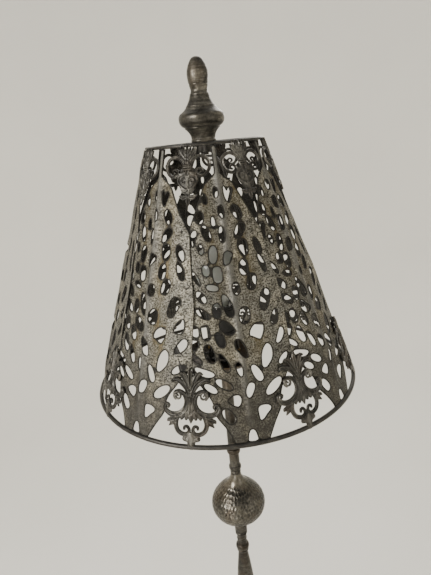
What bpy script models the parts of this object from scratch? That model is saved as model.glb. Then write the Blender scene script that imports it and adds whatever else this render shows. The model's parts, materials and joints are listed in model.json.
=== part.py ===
"""Floor lamp with a pierced sheet-metal cone shade, a harp, a tall finial and a hammered ball.

The origin is the middle of the base at floor level, +Z is up and the lamp's front is -Y.
Angles around the lamp are counted from the front towards +X.
"""

import math

import bmesh
import bpy
from mathutils import Matrix, Vector

WELD = 0.000002
GAP = 0.0003

# Shade: a cone between two wire rings.
RIM_HEIGHT = 1.215
RIM_RADIUS = 0.178
RIM_WIRE = 0.0028
CROWN_RISE = 0.3173
CROWN_RADIUS = 0.072
CROWN_WIRE = 0.0018
LEAVES = 8
LEAF_TURN = math.radians(7.6)
LEAF_HALF_ANGLE = math.radians(22.2)
SHEET = 0.001
RIB_WIRE = 0.0026
CONE_STEPS = 48
SPIDER_ARMS = 3

# Pole: one threaded pipe carries every turned piece.
PIPE_RADIUS = 0.00475
PIPE_BORE = 0.0032
STEM_BORE = 0.0051
TUBE_RADIUS = 0.00795
TUBE_BORE = 0.0068
BALL_WALL = 0.0012
DISH_WALL = 0.0010

# Base.
BASE_RADIUS = 0.140
BASE_TOP = 0.046
PAD_RADIUS = 0.128
PAD_TOP = 0.0025
WEIGHT_RADIUS = 0.132
CORD_HOLE_HEIGHT = 0.012
CORD_HOLE_RADIUS = 0.0055

# Lamp holder, harp and bulb.
HARP_TURN = math.radians(-43.0)
HARP_WIRE = 0.0016
HARP_FOOT_REACH = 0.028
HARP_FOOT = 1.2495
HARP_TOP = 1.5165
HARP_WIDEST = 0.056
SLEEVE_LENGTH = 0.014
SLEEVE_FOOT = 1.243
SOCKET_RADIUS = 0.0205
KEY_HEIGHT = 1.2745
BULB_RADIUS = 0.030
BULB_TOP = 1.402
FINIAL_FOOT = 1.5343

CONE_LEAN = math.atan2(RIM_RADIUS - CROWN_RADIUS, CROWN_RISE)
CONE_SLANT = math.hypot(RIM_RADIUS - CROWN_RADIUS, CROWN_RISE)


def cone_radius(rise):
    """Radius of the shade's middle surface at this height above its bottom ring."""
    return RIM_RADIUS - (RIM_RADIUS - CROWN_RADIUS) * rise / CROWN_RISE


def new_collection(name, hidden=False):
    collection = bpy.data.collections.new(name)
    bpy.context.scene.collection.children.link(collection)
    collection.hide_render = hidden
    return collection


def finish(name, colour, roughness, metallic):
    """A Principled material."""
    material = bpy.data.materials.new(name)
    material.use_nodes = True
    shader = material.node_tree.nodes["Principled BSDF"]
    shader.inputs["Base Color"].default_value = (*colour, 1.0)
    shader.inputs["Roughness"].default_value = roughness
    shader.inputs["Metallic"].default_value = metallic
    return material


def add(name, data, material, collection):
    obj = bpy.data.objects.new(name, data)
    collection.objects.link(obj)
    if material:
        data.materials.append(material)
    return obj


def settle(obj):
    """Makes the object a plain mesh: modifiers applied, seams welded, round faces smooth."""
    name = obj.name
    graph = bpy.context.evaluated_depsgraph_get()
    mesh = bpy.data.meshes.new_from_object(obj.evaluated_get(graph))
    shape = bmesh.new()
    shape.from_mesh(mesh)
    bmesh.ops.remove_doubles(shape, verts=shape.verts, dist=WELD)
    bmesh.ops.recalc_face_normals(shape, faces=shape.faces)
    shape.to_mesh(mesh)
    shape.free()
    mesh.shade_smooth()
    mesh.set_sharp_from_angle(angle=math.radians(32))
    matrix = obj.matrix_world.copy()
    home = obj.users_collection[0]
    bpy.data.objects.remove(obj)
    solid = bpy.data.objects.new(name, mesh)
    mesh.name = name
    solid.matrix_world = matrix
    home.objects.link(solid)
    return solid


def lathe(name, rows, material, closed, steps, collection=None):
    """Turns (radius, height) points round the Z axis, down the outer side first."""
    edges = [(i, i + 1) for i in range(len(rows) - 1)]
    if closed:
        edges.append((len(rows) - 1, 0))
    mesh = bpy.data.meshes.new(name)
    mesh.from_pydata([(radius, 0.0, height) for radius, height in rows], edges, [])
    obj = add(name, mesh, material, collection or lamp)
    screw = obj.modifiers.new("Turn", "SCREW")
    screw.steps = steps
    screw.render_steps = steps
    screw.use_merge_vertices = True
    screw.merge_threshold = WELD
    return obj


def turned(name, outer, material, bore=0.0, steps=20, collection=None):
    """A lathe piece: its outer side from top to bottom, with a straight bore if one is given."""
    rows = list(outer)
    if bore:
        rows += [(bore, outer[-1][1]), (bore, outer[0][1])]
    return settle(lathe(name, rows, material, bool(bore), steps, collection))


def spun(name, outer, wall, material, steps=24):
    """A spun sheet shell: its outer side from top to bottom, with the wall added inside it."""
    obj = lathe(name, outer, material, False, steps)
    shell = obj.modifiers.new("Wall", "SOLIDIFY")
    shell.thickness = wall
    shell.offset = -1.0
    return settle(obj)


def wire(name, points, radius, material, collection=None):
    """A round wire through the points."""
    curve = bpy.data.curves.new(name, "CURVE")
    curve.dimensions = "3D"
    curve.bevel_depth = radius
    curve.bevel_resolution = 2
    curve.use_fill_caps = True
    spline = curve.splines.new("POLY")
    spline.points.add(len(points) - 1)
    for point, place in zip(spline.points, points):
        point.co = (*place, 1.0)
    return settle(add(name, curve, material, collection or lamp))


def plate(name, outlines, thickness, material, matrix=None, collection=None):
    """A flat plate in its local XY plane. The first outline is the edge, the others are its holes."""
    curve = bpy.data.curves.new(name, "CURVE")
    curve.dimensions = "2D"
    curve.fill_mode = "BOTH"
    curve.extrude = thickness / 2
    for outline in outlines:
        spline = curve.splines.new("POLY")
        spline.points.add(len(outline) - 1)
        for point, (x, y) in zip(spline.points, outline):
            point.co = (x, y, 0.0, 1.0)
        spline.use_cyclic_u = True
    obj = add(name, curve, material, collection or lamp)
    if matrix:
        obj.matrix_world = matrix
    bpy.context.view_layer.update()
    return settle(obj)


def rod(name, start, end, radius, material, sides=12, collection=None):
    """A straight round bar."""
    run = Vector(end) - Vector(start)
    middle = (Vector(start) + Vector(end)) / 2
    shape = bmesh.new()
    bmesh.ops.create_cone(
        shape, cap_ends=True, segments=sides, radius1=radius, radius2=radius, depth=run.length
    )
    mesh = bpy.data.meshes.new(name)
    shape.to_mesh(mesh)
    shape.free()
    obj = add(name, mesh, material, collection or lamp)
    obj.matrix_world = Matrix.Translation(middle) @ run.to_track_quat("Z", "Y").to_matrix().to_4x4()
    bpy.context.view_layer.update()
    return obj


def join(body, tool, operation):
    """Cuts, keeps or adds the tool's shape, and hides or removes the tool."""
    change = body.modifiers.new(operation.title(), "BOOLEAN")
    change.operation = operation
    change.solver = "EXACT"
    change.object = tool
    solid = settle(body)
    bpy.data.objects.remove(tool)
    return solid


def hex_nut(name, low, high, radius, material):
    """A six-sided nut on the threaded pipe."""
    body = rod(name, (0.0, 0.0, low), (0.0, 0.0, high), radius, material, 6)
    hole = rod("nut_hole", (0.0, 0.0, low - 0.01), (0.0, 0.0, high + 0.01), STEM_BORE, None, 16, cutters)
    return join(body, hole, "DIFFERENCE")


def copies(first, name, count, turn, parent):
    """The same piece set at even steps round the lamp's axis, each its own object."""
    for number in range(count):
        obj = bpy.data.objects.new(f"{name}_{number + 1}", first.data)
        spin = Matrix.Rotation(turn + math.tau * number / count, 4, "Z")
        obj.matrix_world = parent.matrix_world.inverted() @ spin @ first.matrix_world
        obj.parent = parent
        lamp.objects.link(obj)
    bpy.data.objects.remove(first)


def hold(obj, parent):
    """Parents the object where it stands."""
    matrix = obj.matrix_world.copy()
    obj.parent = parent
    obj.matrix_world = matrix


def axis_empty(name, place, rotation=(0.0, 0.0, 0.0)):
    """A joint's axis: the empty's local Z."""
    empty = bpy.data.objects.new(name, None)
    empty.location = place
    empty.rotation_euler = rotation
    empty.empty_display_size = 0.03
    lamp.objects.link(empty)
    bpy.context.view_layer.update()
    return empty


def make_base():
    turned("felt_pad", [(0.0, PAD_TOP), (PAD_RADIUS, PAD_TOP), (PAD_RADIUS, 0.0), (0.0, 0.0)], felt, steps=32)

    bottom = PAD_TOP + GAP
    weight_top = 0.0195
    recess_radius = 0.017
    recess_top = 0.0105
    outer = [
        (STEM_BORE, weight_top),
        (0.118, weight_top),
        (WEIGHT_RADIUS, 0.0155),
        (WEIGHT_RADIUS, bottom),
        (recess_radius, bottom),
        (recess_radius, recess_top),
        (STEM_BORE, recess_top),
    ]
    weight = turned("base_weight", outer, iron, bore=STEM_BORE, steps=32)
    channel_height = 0.0062
    channel = rod("cord_channel", (0.0, 0.010, bottom), (0.0, 0.150, bottom), channel_height, None, 8, cutters)
    join(weight, channel, "DIFFERENCE")

    turned(
        "base_washer",
        [(0.0145, recess_top - GAP), (0.0145, recess_top - 0.0015)],
        steel,
        bore=STEM_BORE,
        steps=16,
    )
    hex_nut("base_nut", 0.0038, 0.0085, 0.0092, steel)

    cover_outer = [
        (STEM_BORE + GAP, BASE_TOP),
        (0.032, BASE_TOP),
        (0.058, 0.0395),
        (0.062, 0.0345),
        (0.116, 0.0280),
        (0.1345, 0.0225),
        (BASE_RADIUS, 0.0130),
        (BASE_RADIUS, 0.0035),
    ]
    cover = spun("base_cover", cover_outer, 0.0012, pewter, steps=32)
    hole_start = (0.0, BASE_RADIUS - 0.012, CORD_HOLE_HEIGHT)
    hole_end = (0.0, BASE_RADIUS + 0.012, CORD_HOLE_HEIGHT)
    join(cover, rod("cord_hole", hole_start, hole_end, CORD_HOLE_RADIUS, None, 12, cutters), "DIFFERENCE")

    bushing = turned(
        "cord_bushing",
        [(0.0072, 0.0022), (0.0072, 0.0006), (0.0050, 0.0006), (0.0050, -0.0040)],
        black,
        bore=0.0034,
        steps=12,
    )
    bushing.rotation_euler = (-math.pi / 2, 0.0, 0.0)
    bushing.location = (0.0, BASE_RADIUS, CORD_HOLE_HEIGHT)


def make_pole():
    turned(
        "threaded_pipe",
        [(PIPE_RADIUS, 1.2435), (PIPE_RADIUS, 0.0036)],
        steel,
        bore=PIPE_BORE,
        steps=12,
    )
    foot = [
        (0.0095, 0.1200),
        (0.0130, 0.1180),
        (0.0130, 0.1140),
        (0.0095, 0.1110),
        (0.0110, 0.1010),
        (0.0190, 0.0850),
        (0.0165, 0.0700),
        (0.0105, 0.0610),
        (0.0150, 0.0560),
        (0.0265, 0.0500),
        (0.0280, BASE_TOP + GAP),
    ]
    turned("column_foot", foot, pewter, bore=STEM_BORE)
    turned(
        "lower_tube",
        [(TUBE_RADIUS, 0.4700), (TUBE_RADIUS, 0.1203)],
        pewter,
        bore=TUBE_BORE,
    )
    ring = [
        (0.0088, 0.4997),
        (0.0122, 0.4970),
        (0.0122, 0.4930),
        (0.0090, 0.4900),
        (0.0135, 0.4850),
        (0.0090, 0.4800),
        (0.0110, 0.4750),
        (0.0095, 0.4703),
    ]
    turned("column_ring", ring, pewter, bore=STEM_BORE)
    baluster = [
        (0.00765, 0.8797),
        (0.00875, 0.8700),
        (0.0114, 0.8470),
        (0.0133, 0.8260),
        (0.0152, 0.7950),
        (0.0158, 0.7650),
        (0.0152, 0.7250),
        (0.0128, 0.6500),
        (0.0102, 0.5700),
        (0.0085, 0.5000),
    ]
    turned("tapered_column", baluster, pewter, bore=STEM_BORE)
    bead = [
        (0.00765, 0.9022),
        (0.00800, 0.8960),
        (0.01075, 0.8920),
        (0.01075, 0.8880),
        (0.00990, 0.8840),
        (0.00765, 0.8800),
    ]
    turned("neck_bead", bead, pewter, bore=STEM_BORE, steps=16)
    stem = [
        (0.0100, 0.9520),
        (0.0100, 0.9222),
        (0.0080, 0.9205),
        (0.0096, 0.9180),
        (0.0080, 0.9155),
        (0.00765, 0.9130),
        (0.00765, 0.9025),
    ]
    turned("ball_stem", stem, pewter, bore=STEM_BORE, steps=16)

    ball = [
        (0.0080, 1.0362),
        (0.0092, 1.0300),
        (0.0125, 1.0230),
        (0.0185, 1.0170),
        (0.0260, 1.0105),
        (0.0345, 1.0015),
        (0.0402, 0.9925),
        (0.0426, 0.9830),
        (0.0415, 0.9735),
        (0.0370, 0.9645),
        (0.0295, 0.9575),
        (0.0200, 0.9535),
        (0.0102, 0.9525),
    ]
    spun("hammered_ball", ball, BALL_WALL, pewter, steps=24)

    cap = [
        (TUBE_RADIUS, 1.0547),
        (0.00810, 1.0515),
        (0.00945, 1.0495),
        (0.00945, 1.0455),
        (0.00750, 1.0430),
        (0.00790, 1.0366),
    ]
    turned("ball_cap", cap, pewter, bore=STEM_BORE, steps=16)
    turned("short_tube", [(TUBE_RADIUS, 1.0737), (TUBE_RADIUS, 1.0550)], pewter, bore=TUBE_BORE, steps=16)
    collar = [(0.0090, 1.0822), (0.01035, 1.0805), (0.01035, 1.0757), (0.0090, 1.0740)]
    turned("tube_collar", collar, pewter, bore=STEM_BORE, steps=16)
    turned("upper_tube", [(TUBE_RADIUS, 1.2282), (TUBE_RADIUS, 1.0825)], pewter, bore=TUBE_BORE, steps=16)


def make_holder():
    dish = [
        (0.0555, 1.2460),
        (0.0520, 1.2415),
        (0.0400, 1.2345),
        (0.0250, 1.2295),
        (0.0054, 1.2285),
    ]
    dish_rows = dish + [(radius, height + DISH_WALL) for radius, height in reversed(dish)]
    settle(lathe("socket_dish", dish_rows, pewter, True, 24))

    turn = Matrix.Rotation(HARP_TURN, 4, "Z")
    upright = Matrix.Rotation(math.pi / 2, 4, "X")
    foot_outline = [
        (0.0200, 1.2310),
        (0.0257, 1.2368),
        (0.0308, 1.2368),
        (0.0308, 1.2388),
        (0.0249, 1.2388),
        (0.0193, 1.2325),
    ]
    saddle = plate("harp_saddle", [mirrored(foot_outline)], 0.016, steel, matrix=turn @ upright)
    for side in (-1, 1):
        reach = turn @ Vector((side * HARP_FOOT_REACH, 0.0, 0.0))
        low = (reach.x, reach.y, 1.2376)
        high = (reach.x, reach.y, HARP_FOOT - GAP)
        saddle = join(saddle, rod("post", low, high, HARP_WIRE, None, 8, cutters), "UNION")
    hole = rod("saddle_hole", (0.0, 0.0, 1.22), (0.0, 0.0, 1.25), STEM_BORE, None, 16, cutters)
    join(saddle, hole, "DIFFERENCE")

    hex_nut("saddle_nut", 1.2329, 1.2366, 0.0085, steel)

    half_harp = [
        (HARP_FOOT_REACH, HARP_FOOT),
        (HARP_FOOT_REACH, 1.2720),
        (0.0288, 1.2780),
        (0.0330, 1.2880),
        (0.0440, 1.3080),
        (0.0520, 1.3320),
        (HARP_WIDEST, 1.3620),
        (0.0540, 1.3950),
        (0.0480, 1.4300),
        (0.0395, 1.4650),
        (0.0310, 1.4920),
        (0.0240, 1.5080),
        (0.0190, 1.5145),
        (0.0130, HARP_TOP),
    ]
    route = half_harp + [(0.0, HARP_TOP)] + [(-x, z) for x, z in reversed(half_harp)]
    wire("harp", [turn @ Vector((x, 0.0, z)) for x, z in route], HARP_WIRE, steel)

    for name, side in (("left", -1), ("right", 1)):
        reach = turn @ Vector((side * HARP_FOOT_REACH, 0.0, 0.0))
        sleeve = turned(
            f"harp_sleeve_{name}",
            [(0.0030, SLEEVE_LENGTH), (0.0030, 0.0)],
            brass,
            bore=0.0020,
            steps=12,
        )
        sleeve.location = (reach.x, reach.y, SLEEVE_FOOT)

    screw = [
        (0.0, 1.5480),
        (0.0025, 1.5480),
        (0.0031, 1.5470),
        (0.0031, 1.5300),
        (0.00775, 1.5300),
        (0.00775, 1.5215),
        (0.0050, 1.5205),
        (0.0050, 1.5185),
        (0.0, 1.5185),
    ]
    turned("harp_screw", screw, steel, steps=16)


def make_socket():
    cap = [
        (0.0196, 1.2620),
        (0.0196, 1.2560),
        (0.0150, 1.2460),
        (0.0090, 1.2420),
        (0.0090, 1.2370),
        (STEM_BORE, 1.2370),
        (STEM_BORE, 1.2440),
        (0.0135, 1.2475),
        (0.0180, 1.2568),
        (0.0180, 1.2620),
    ]
    settle(lathe("socket_cap", cap, black, True, 20))
    shell = turned(
        "socket_shell",
        [(SOCKET_RADIUS, 1.3190), (SOCKET_RADIUS, 1.2625)],
        black,
        bore=SOCKET_RADIUS - 0.0010,
        steps=20,
    )
    out = Matrix.Rotation(HARP_TURN - math.pi / 2, 3, "Z") @ Vector((1.0, 0.0, 0.0))
    level = Vector((0.0, 0.0, KEY_HEIGHT))
    hole = rod("key_hole", level + out * 0.012, level + out * 0.030, 0.0024, None, 10, cutters)
    join(shell, hole, "DIFFERENCE")
    insulator = [
        (0.0, 1.2850),
        (0.0140, 1.2850),
        (0.0140, 1.3155),
        (0.0186, 1.3155),
        (0.0186, 1.2630),
        (0.0, 1.2630),
    ]
    turned("socket_insulator", insulator, brass)
    turned(
        "centre_contact",
        [(0.0, 1.2875), (0.0035, 1.2870), (0.0035, 1.2853), (0.0, 1.2853)],
        brass,
        steps=8,
    )
    key = [
        (0.0, 0.0455),
        (0.0045, 0.0455),
        (0.0055, 0.0445),
        (0.0055, 0.0365),
        (0.0045, 0.0355),
        (0.0018, 0.0355),
        (0.0018, 0.0190),
        (0.0, 0.0190),
    ]
    knob = turned("switch_key", key, black, steps=12)
    facing = out.to_track_quat("Z", "Y").to_euler()
    key_axis = axis_empty("switch_axis", level, facing)
    knob.parent = key_axis


def make_bulb():
    axis = axis_empty("bulb_axis", (0.0, 0.0, 0.0))
    base = [
        (0.0, 1.3172),
        (0.0122, 1.3172),
        (0.0132, 1.3150),
        (0.0132, 1.2940),
        (0.0090, 1.2905),
        (0.0045, 1.2882),
        (0.0, 1.2882),
    ]
    hold(turned("bulb_base", base, steel, steps=16), axis)
    glass = [
        (0.0, BULB_TOP),
        (0.0095, 1.4005),
        (0.0180, 1.3960),
        (0.0250, 1.3880),
        (0.0290, 1.3780),
        (BULB_RADIUS, 1.3700),
        (0.0285, 1.3600),
        (0.0245, 1.3500),
        (0.0190, 1.3390),
        (0.0150, 1.3290),
        (0.0133, 1.3176),
    ]
    hold(spun("bulb_glass", glass, 0.0010, glass_white, steps=16), axis)


def make_finial():
    rises = [
        (0.0, 0.0823),
        (0.0050, 0.0818),
        (0.0085, 0.0780),
        (0.0105, 0.0727),
        (0.0130, 0.0633),
        (0.0121, 0.0547),
        (0.0099, 0.0460),
        (0.0125, 0.0392),
        (0.0174, 0.0282),
        (0.0189, 0.0242),
        (0.0237, 0.0202),
        (0.0284, 0.0113),
    ]
    outer = [(radius, FINIAL_FOOT + 0.0150 + rise) for radius, rise in rises]
    outer += [
        (0.0266, FINIAL_FOOT + 0.0214),
        (0.0215, FINIAL_FOOT + 0.0161),
        (0.0151, FINIAL_FOOT + 0.0077),
        (0.0150, FINIAL_FOOT),
        (0.0036, FINIAL_FOOT),
        (0.0036, FINIAL_FOOT + 0.0170),
        (0.0, FINIAL_FOOT + 0.0170),
    ]
    hold(turned("finial", outer, pewter, steps=20), axis_empty("finial_axis", (0.0, 0.0, 0.0)))


def almond(centre_x, centre_y, length, width, lean):
    """A six-sided slot, pointed at both ends, that leans from the upright."""
    corners = []
    for turn, reach in ((0, length), (1, width), (2, width), (3, length), (4, width), (5, width)):
        angle = math.pi / 2 - lean + turn * math.pi / 3
        corners.append((centre_x + reach / 2 * math.cos(angle), centre_y + reach / 2 * math.sin(angle)))
    return corners


def leaf_outline():
    """The leaf seen from straight ahead: a narrow foot, a wide middle and a thin tip along the rib."""
    side = math.sin(LEAF_HALF_ANGLE)
    meet, part, tip = 0.072, 0.232, 0.277
    foot = RIM_WIRE + GAP
    top = CROWN_RISE - CROWN_WIRE - GAP
    right = [
        (0.0210, foot),
        (0.0380, 0.035),
        (cone_radius(meet) * side, meet),
        (cone_radius(part) * side, part),
        (0.0120, tip),
        (0.0024, tip + 0.010),
        (0.0022, top),
    ]
    return right + [(-x, y) for x, y in reversed(right)]


def leaf_slots():
    """Slots in rows that lean in towards the rib as they go down, larger near the foot."""
    slots = []
    for rise, columns in ((0.028, 1), (0.075, 2), (0.130, 2), (0.185, 2), (0.230, 1)):
        half_width = min(0.0210 + rise * 0.50, cone_radius(rise) * math.sin(LEAF_HALF_ANGLE))
        length = 0.024 - 0.045 * rise
        for column in range(columns):
            share = (column + 1) / (columns + 0.85)
            centre = 0.006 + (half_width - 0.010) * share
            for side in (-1, 1):
                slots.append(almond(side * centre, rise + 0.008 * column, length, length * 0.52, side * 0.42))
    return slots


def make_shade():
    axis = axis_empty("shade_axis", (0.0, 0.0, RIM_HEIGHT))
    rings = (
        ("bottom_ring", RIM_RADIUS, RIM_WIRE, 0.0, 56),
        ("top_ring", CROWN_RADIUS, CROWN_WIRE, CROWN_RISE, 40),
    )
    for name, radius, thickness, rise, steps in rings:
        bpy.ops.mesh.primitive_torus_add(
            major_radius=radius,
            minor_radius=thickness,
            major_segments=steps,
            minor_segments=6,
            location=(0.0, 0.0, RIM_HEIGHT + rise),
        )
        ring = bpy.context.active_object
        ring.name = name
        ring.data.materials.append(dark_steel)
        ring.data.shade_smooth()
        bpy.context.collection.objects.unlink(ring)
        lamp.objects.link(ring)
        hold(ring, axis)

    crown = RIM_HEIGHT + CROWN_RISE
    hub = [(0.0120, crown + 0.0016), (0.0120, crown - 0.0016)]
    spider = turned("spider", hub, dark_steel, bore=0.0037, steps=24)
    for number in range(SPIDER_ARMS):
        heading = math.tau * (number + 0.5) / SPIDER_ARMS - math.pi / 2
        out = Vector((math.cos(heading), math.sin(heading), 0.0))
        start = out * 0.0100 + Vector((0.0, 0.0, crown))
        end = out * (CROWN_RADIUS - CROWN_WIRE - 2 * GAP) + Vector((0.0, 0.0, crown))
        spider = join(spider, rod("arm", start, end, 0.0014, None, 8, cutters), "UNION")
    hold(spider, axis)

    half = SHEET / 2
    cone = [
        (CROWN_RADIUS + half, CROWN_RISE),
        (RIM_RADIUS + half, 0.0),
        (RIM_RADIUS - half, 0.0),
        (CROWN_RADIUS - half, CROWN_RISE),
    ]
    sheet = settle(lathe("leaf", cone, pewter, True, CONE_STEPS))
    upright = Matrix.Translation((0.0, -0.120, 0.0)) @ Matrix.Rotation(math.pi / 2, 4, "X")
    stamp = plate("stamp", [leaf_outline(), *leaf_slots()], 0.170, None, matrix=upright, collection=cutters)
    leaf = join(sheet, stamp, "INTERSECT")
    rib_low = RIM_WIRE + GAP + 0.0011
    rib_high = CROWN_RISE - CROWN_WIRE - GAP - 0.0011
    rib = rod(
        "rib",
        (0.0, -cone_radius(rib_low) - 0.0006, rib_low),
        (0.0, -cone_radius(rib_high) - 0.0006, rib_high),
        RIB_WIRE,
        None,
        8,
        cutters,
    )
    leaf = join(leaf, rib, "UNION")
    leaf.matrix_world = Matrix.Translation((0.0, 0.0, RIM_HEIGHT))
    copies(leaf, "leaf", LEAVES, LEAF_TURN, axis)

    between = LEAF_TURN - math.pi / LEAVES
    copies(make_lower_ornament(), "lower_ornament", LEAVES, between, axis)
    copies(make_upper_ornament(), "upper_ornament", LEAVES, between, axis)


def on_cone(slant, offset):
    """A frame on the cone at the front: X across, Y up the slope, Z out of the sheet."""
    foot = Matrix.Translation((0.0, -RIM_RADIUS, RIM_HEIGHT))
    tilt = Matrix.Rotation(math.pi / 2 - CONE_LEAN, 4, "X")
    return foot @ tilt @ Matrix.Translation((0.0, slant, offset))


def mirrored(half_outline):
    """Closes a right-hand half into a whole outline."""
    return half_outline + [(-x, y) for x, y in reversed(half_outline) if x > 0.0]


def make_lower_ornament():
    """From the bottom: pendant, lyre, side leaves, a pair of C-scrolls and a palmette."""
    edge = [
        (0.0045, 0.0045),
        (0.0105, 0.0065),
        (0.0095, 0.0125),
        (0.0150, 0.0145),
        (0.0203, 0.0215),
        (0.0275, 0.0220),
        (0.0260, 0.0310),
        (0.0315, 0.0345),
        (0.0330, 0.0410),
        (0.0265, 0.0475),
        (0.0245, 0.0400),
        (0.0180, 0.0385),
        (0.0110, 0.0415),
        (0.0072, 0.0480),
        (0.0100, 0.0530),
        (0.0190, 0.0510),
        (0.0205, 0.0575),
        (0.0120, 0.0625),
        (0.0215, 0.0715),
        (0.0130, 0.0805),
        (0.0035, 0.0800),
        (0.0, 0.0880),
    ]
    heart = [
        (0.0022, 0.0300),
        (0.0100, 0.0300),
        (0.0135, 0.0250),
        (0.0100, 0.0180),
        (0.0080, 0.0245),
        (0.0030, 0.0255),
        (0.0, 0.0265),
    ]
    return plate("lower", [mirrored(edge), mirrored(heart)], 0.0018, dark_pewter, matrix=on_cone(0.0, 0.0021))


def make_upper_ornament():
    """From the top ring: palmette, a pair of C-scrolls, two small scrolls and a hanging fleuron."""
    edge = [
        (0.0100, 0.0),
        (0.0095, -0.0095),
        (0.0150, -0.0110),
        (0.0240, -0.0130),
        (0.0275, -0.0220),
        (0.0230, -0.0310),
        (0.0130, -0.0340),
        (0.0170, -0.0385),
        (0.0130, -0.0470),
        (0.0060, -0.0490),
        (0.0065, -0.0600),
        (0.0, -0.0655),
    ]
    scroll = [(0.0085, -0.0250), (0.0085, -0.0190), (0.0150, -0.0150), (0.0210, -0.0190), (0.0200, -0.0260)]
    outline = edge + [(-x, y) for x, y in reversed(edge) if x > 0.0]
    holes = [scroll, [(-x, y) for x, y in reversed(scroll)]]
    top = CONE_SLANT - CROWN_WIRE - 2 * GAP
    return plate("upper", [outline, *holes], 0.0016, dark_pewter, matrix=on_cone(top, 0.0020))


for obj in list(bpy.data.objects):
    bpy.data.objects.remove(obj)

lamp = new_collection("pierced_shade_floor_lamp")
cutters = new_collection("cutters", hidden=True)

pewter = finish("pewter", (0.30, 0.28, 0.24), 0.42, 0.90)
dark_pewter = finish("dark_pewter", (0.20, 0.19, 0.17), 0.45, 0.90)
dark_steel = finish("dark_steel", (0.09, 0.09, 0.09), 0.45, 0.80)
steel = finish("steel", (0.42, 0.42, 0.42), 0.35, 1.0)
iron = finish("iron", (0.12, 0.12, 0.12), 0.70, 0.60)
brass = finish("brass", (0.60, 0.45, 0.20), 0.35, 1.0)
black = finish("black", (0.03, 0.03, 0.03), 0.45, 0.0)
glass_white = finish("glass_white", (0.80, 0.80, 0.78), 0.30, 0.0)
felt = finish("felt", (0.05, 0.05, 0.05), 0.95, 0.0)

make_base()
make_pole()
make_holder()
make_socket()
make_bulb()
make_finial()
make_shade()
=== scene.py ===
"""Looks of the floor lamp with the pierced cone shade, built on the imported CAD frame.

Lengths of the shade's pattern are in millimetres on the unrolled cone: x is the arc from a rib or
an ornament's axis, positive to the right seen from outside, and s runs up the slope from the
bottom ring. Everything else is in metres.
"""

import json
import math
import random

import bmesh
import bpy
import numpy as np
from mathutils import Matrix, Vector, noise
from mathutils.geometry import delaunay_2d_cdt
from mathutils.kdtree import KDTree

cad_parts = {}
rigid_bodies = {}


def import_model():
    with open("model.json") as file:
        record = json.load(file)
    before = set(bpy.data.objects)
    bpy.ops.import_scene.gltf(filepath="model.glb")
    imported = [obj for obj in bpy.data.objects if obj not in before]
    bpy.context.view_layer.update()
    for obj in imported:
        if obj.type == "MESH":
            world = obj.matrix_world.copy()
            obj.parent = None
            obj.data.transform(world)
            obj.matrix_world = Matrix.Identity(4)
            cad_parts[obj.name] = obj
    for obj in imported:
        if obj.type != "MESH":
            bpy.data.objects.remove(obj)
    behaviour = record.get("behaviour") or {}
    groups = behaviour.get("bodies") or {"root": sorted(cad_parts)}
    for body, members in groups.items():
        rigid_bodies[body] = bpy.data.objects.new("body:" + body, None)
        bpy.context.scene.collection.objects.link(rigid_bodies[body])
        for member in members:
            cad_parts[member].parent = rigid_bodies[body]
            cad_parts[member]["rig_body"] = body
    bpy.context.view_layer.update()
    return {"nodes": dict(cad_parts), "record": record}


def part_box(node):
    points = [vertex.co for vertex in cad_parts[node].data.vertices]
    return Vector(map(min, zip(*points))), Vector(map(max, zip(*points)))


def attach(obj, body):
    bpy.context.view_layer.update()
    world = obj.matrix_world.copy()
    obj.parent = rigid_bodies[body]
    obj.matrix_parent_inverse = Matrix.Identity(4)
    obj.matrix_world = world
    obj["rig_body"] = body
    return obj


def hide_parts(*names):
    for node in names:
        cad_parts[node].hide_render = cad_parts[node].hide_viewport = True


MM = 0.001
LEAVES = 8
LEAF_PITCH = 360 / LEAVES
# How far a leaf reaches round to each side of its rib.
LEAF_RIGHT = math.radians(23.2)
LEAF_LEFT = math.radians(22.3)
# The leaves' sheet, their rib's half width and height, and the cast ornaments' thickness, in mm.
SHEET = 1.0
RIB_HALF = 3.7
RIB_HEIGHT = 2.3
CASTING = 1.5
# For the leaf material, in mm: how far the "edge" and "rib" values reach, and what one UV unit is.
EDGE_REACH = 5.0
RIB_REACH = 4.6
SHEET_UV = 100
# No hole reaches farther than this from its first point, in mm.
HOLE_REACH = 30
# Walls of the turned pieces and the depth of the ball's dents, in metres.
BALL_WALL, BALL_DROP, DENT_DEPTH = 0.0012, 0.0004, 0.0008
COVER_WALL = 0.0011
GLASS_WALL = 0.0009

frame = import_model()
random.seed(7)


# ---------------------------------------------------------------- materials


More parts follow.
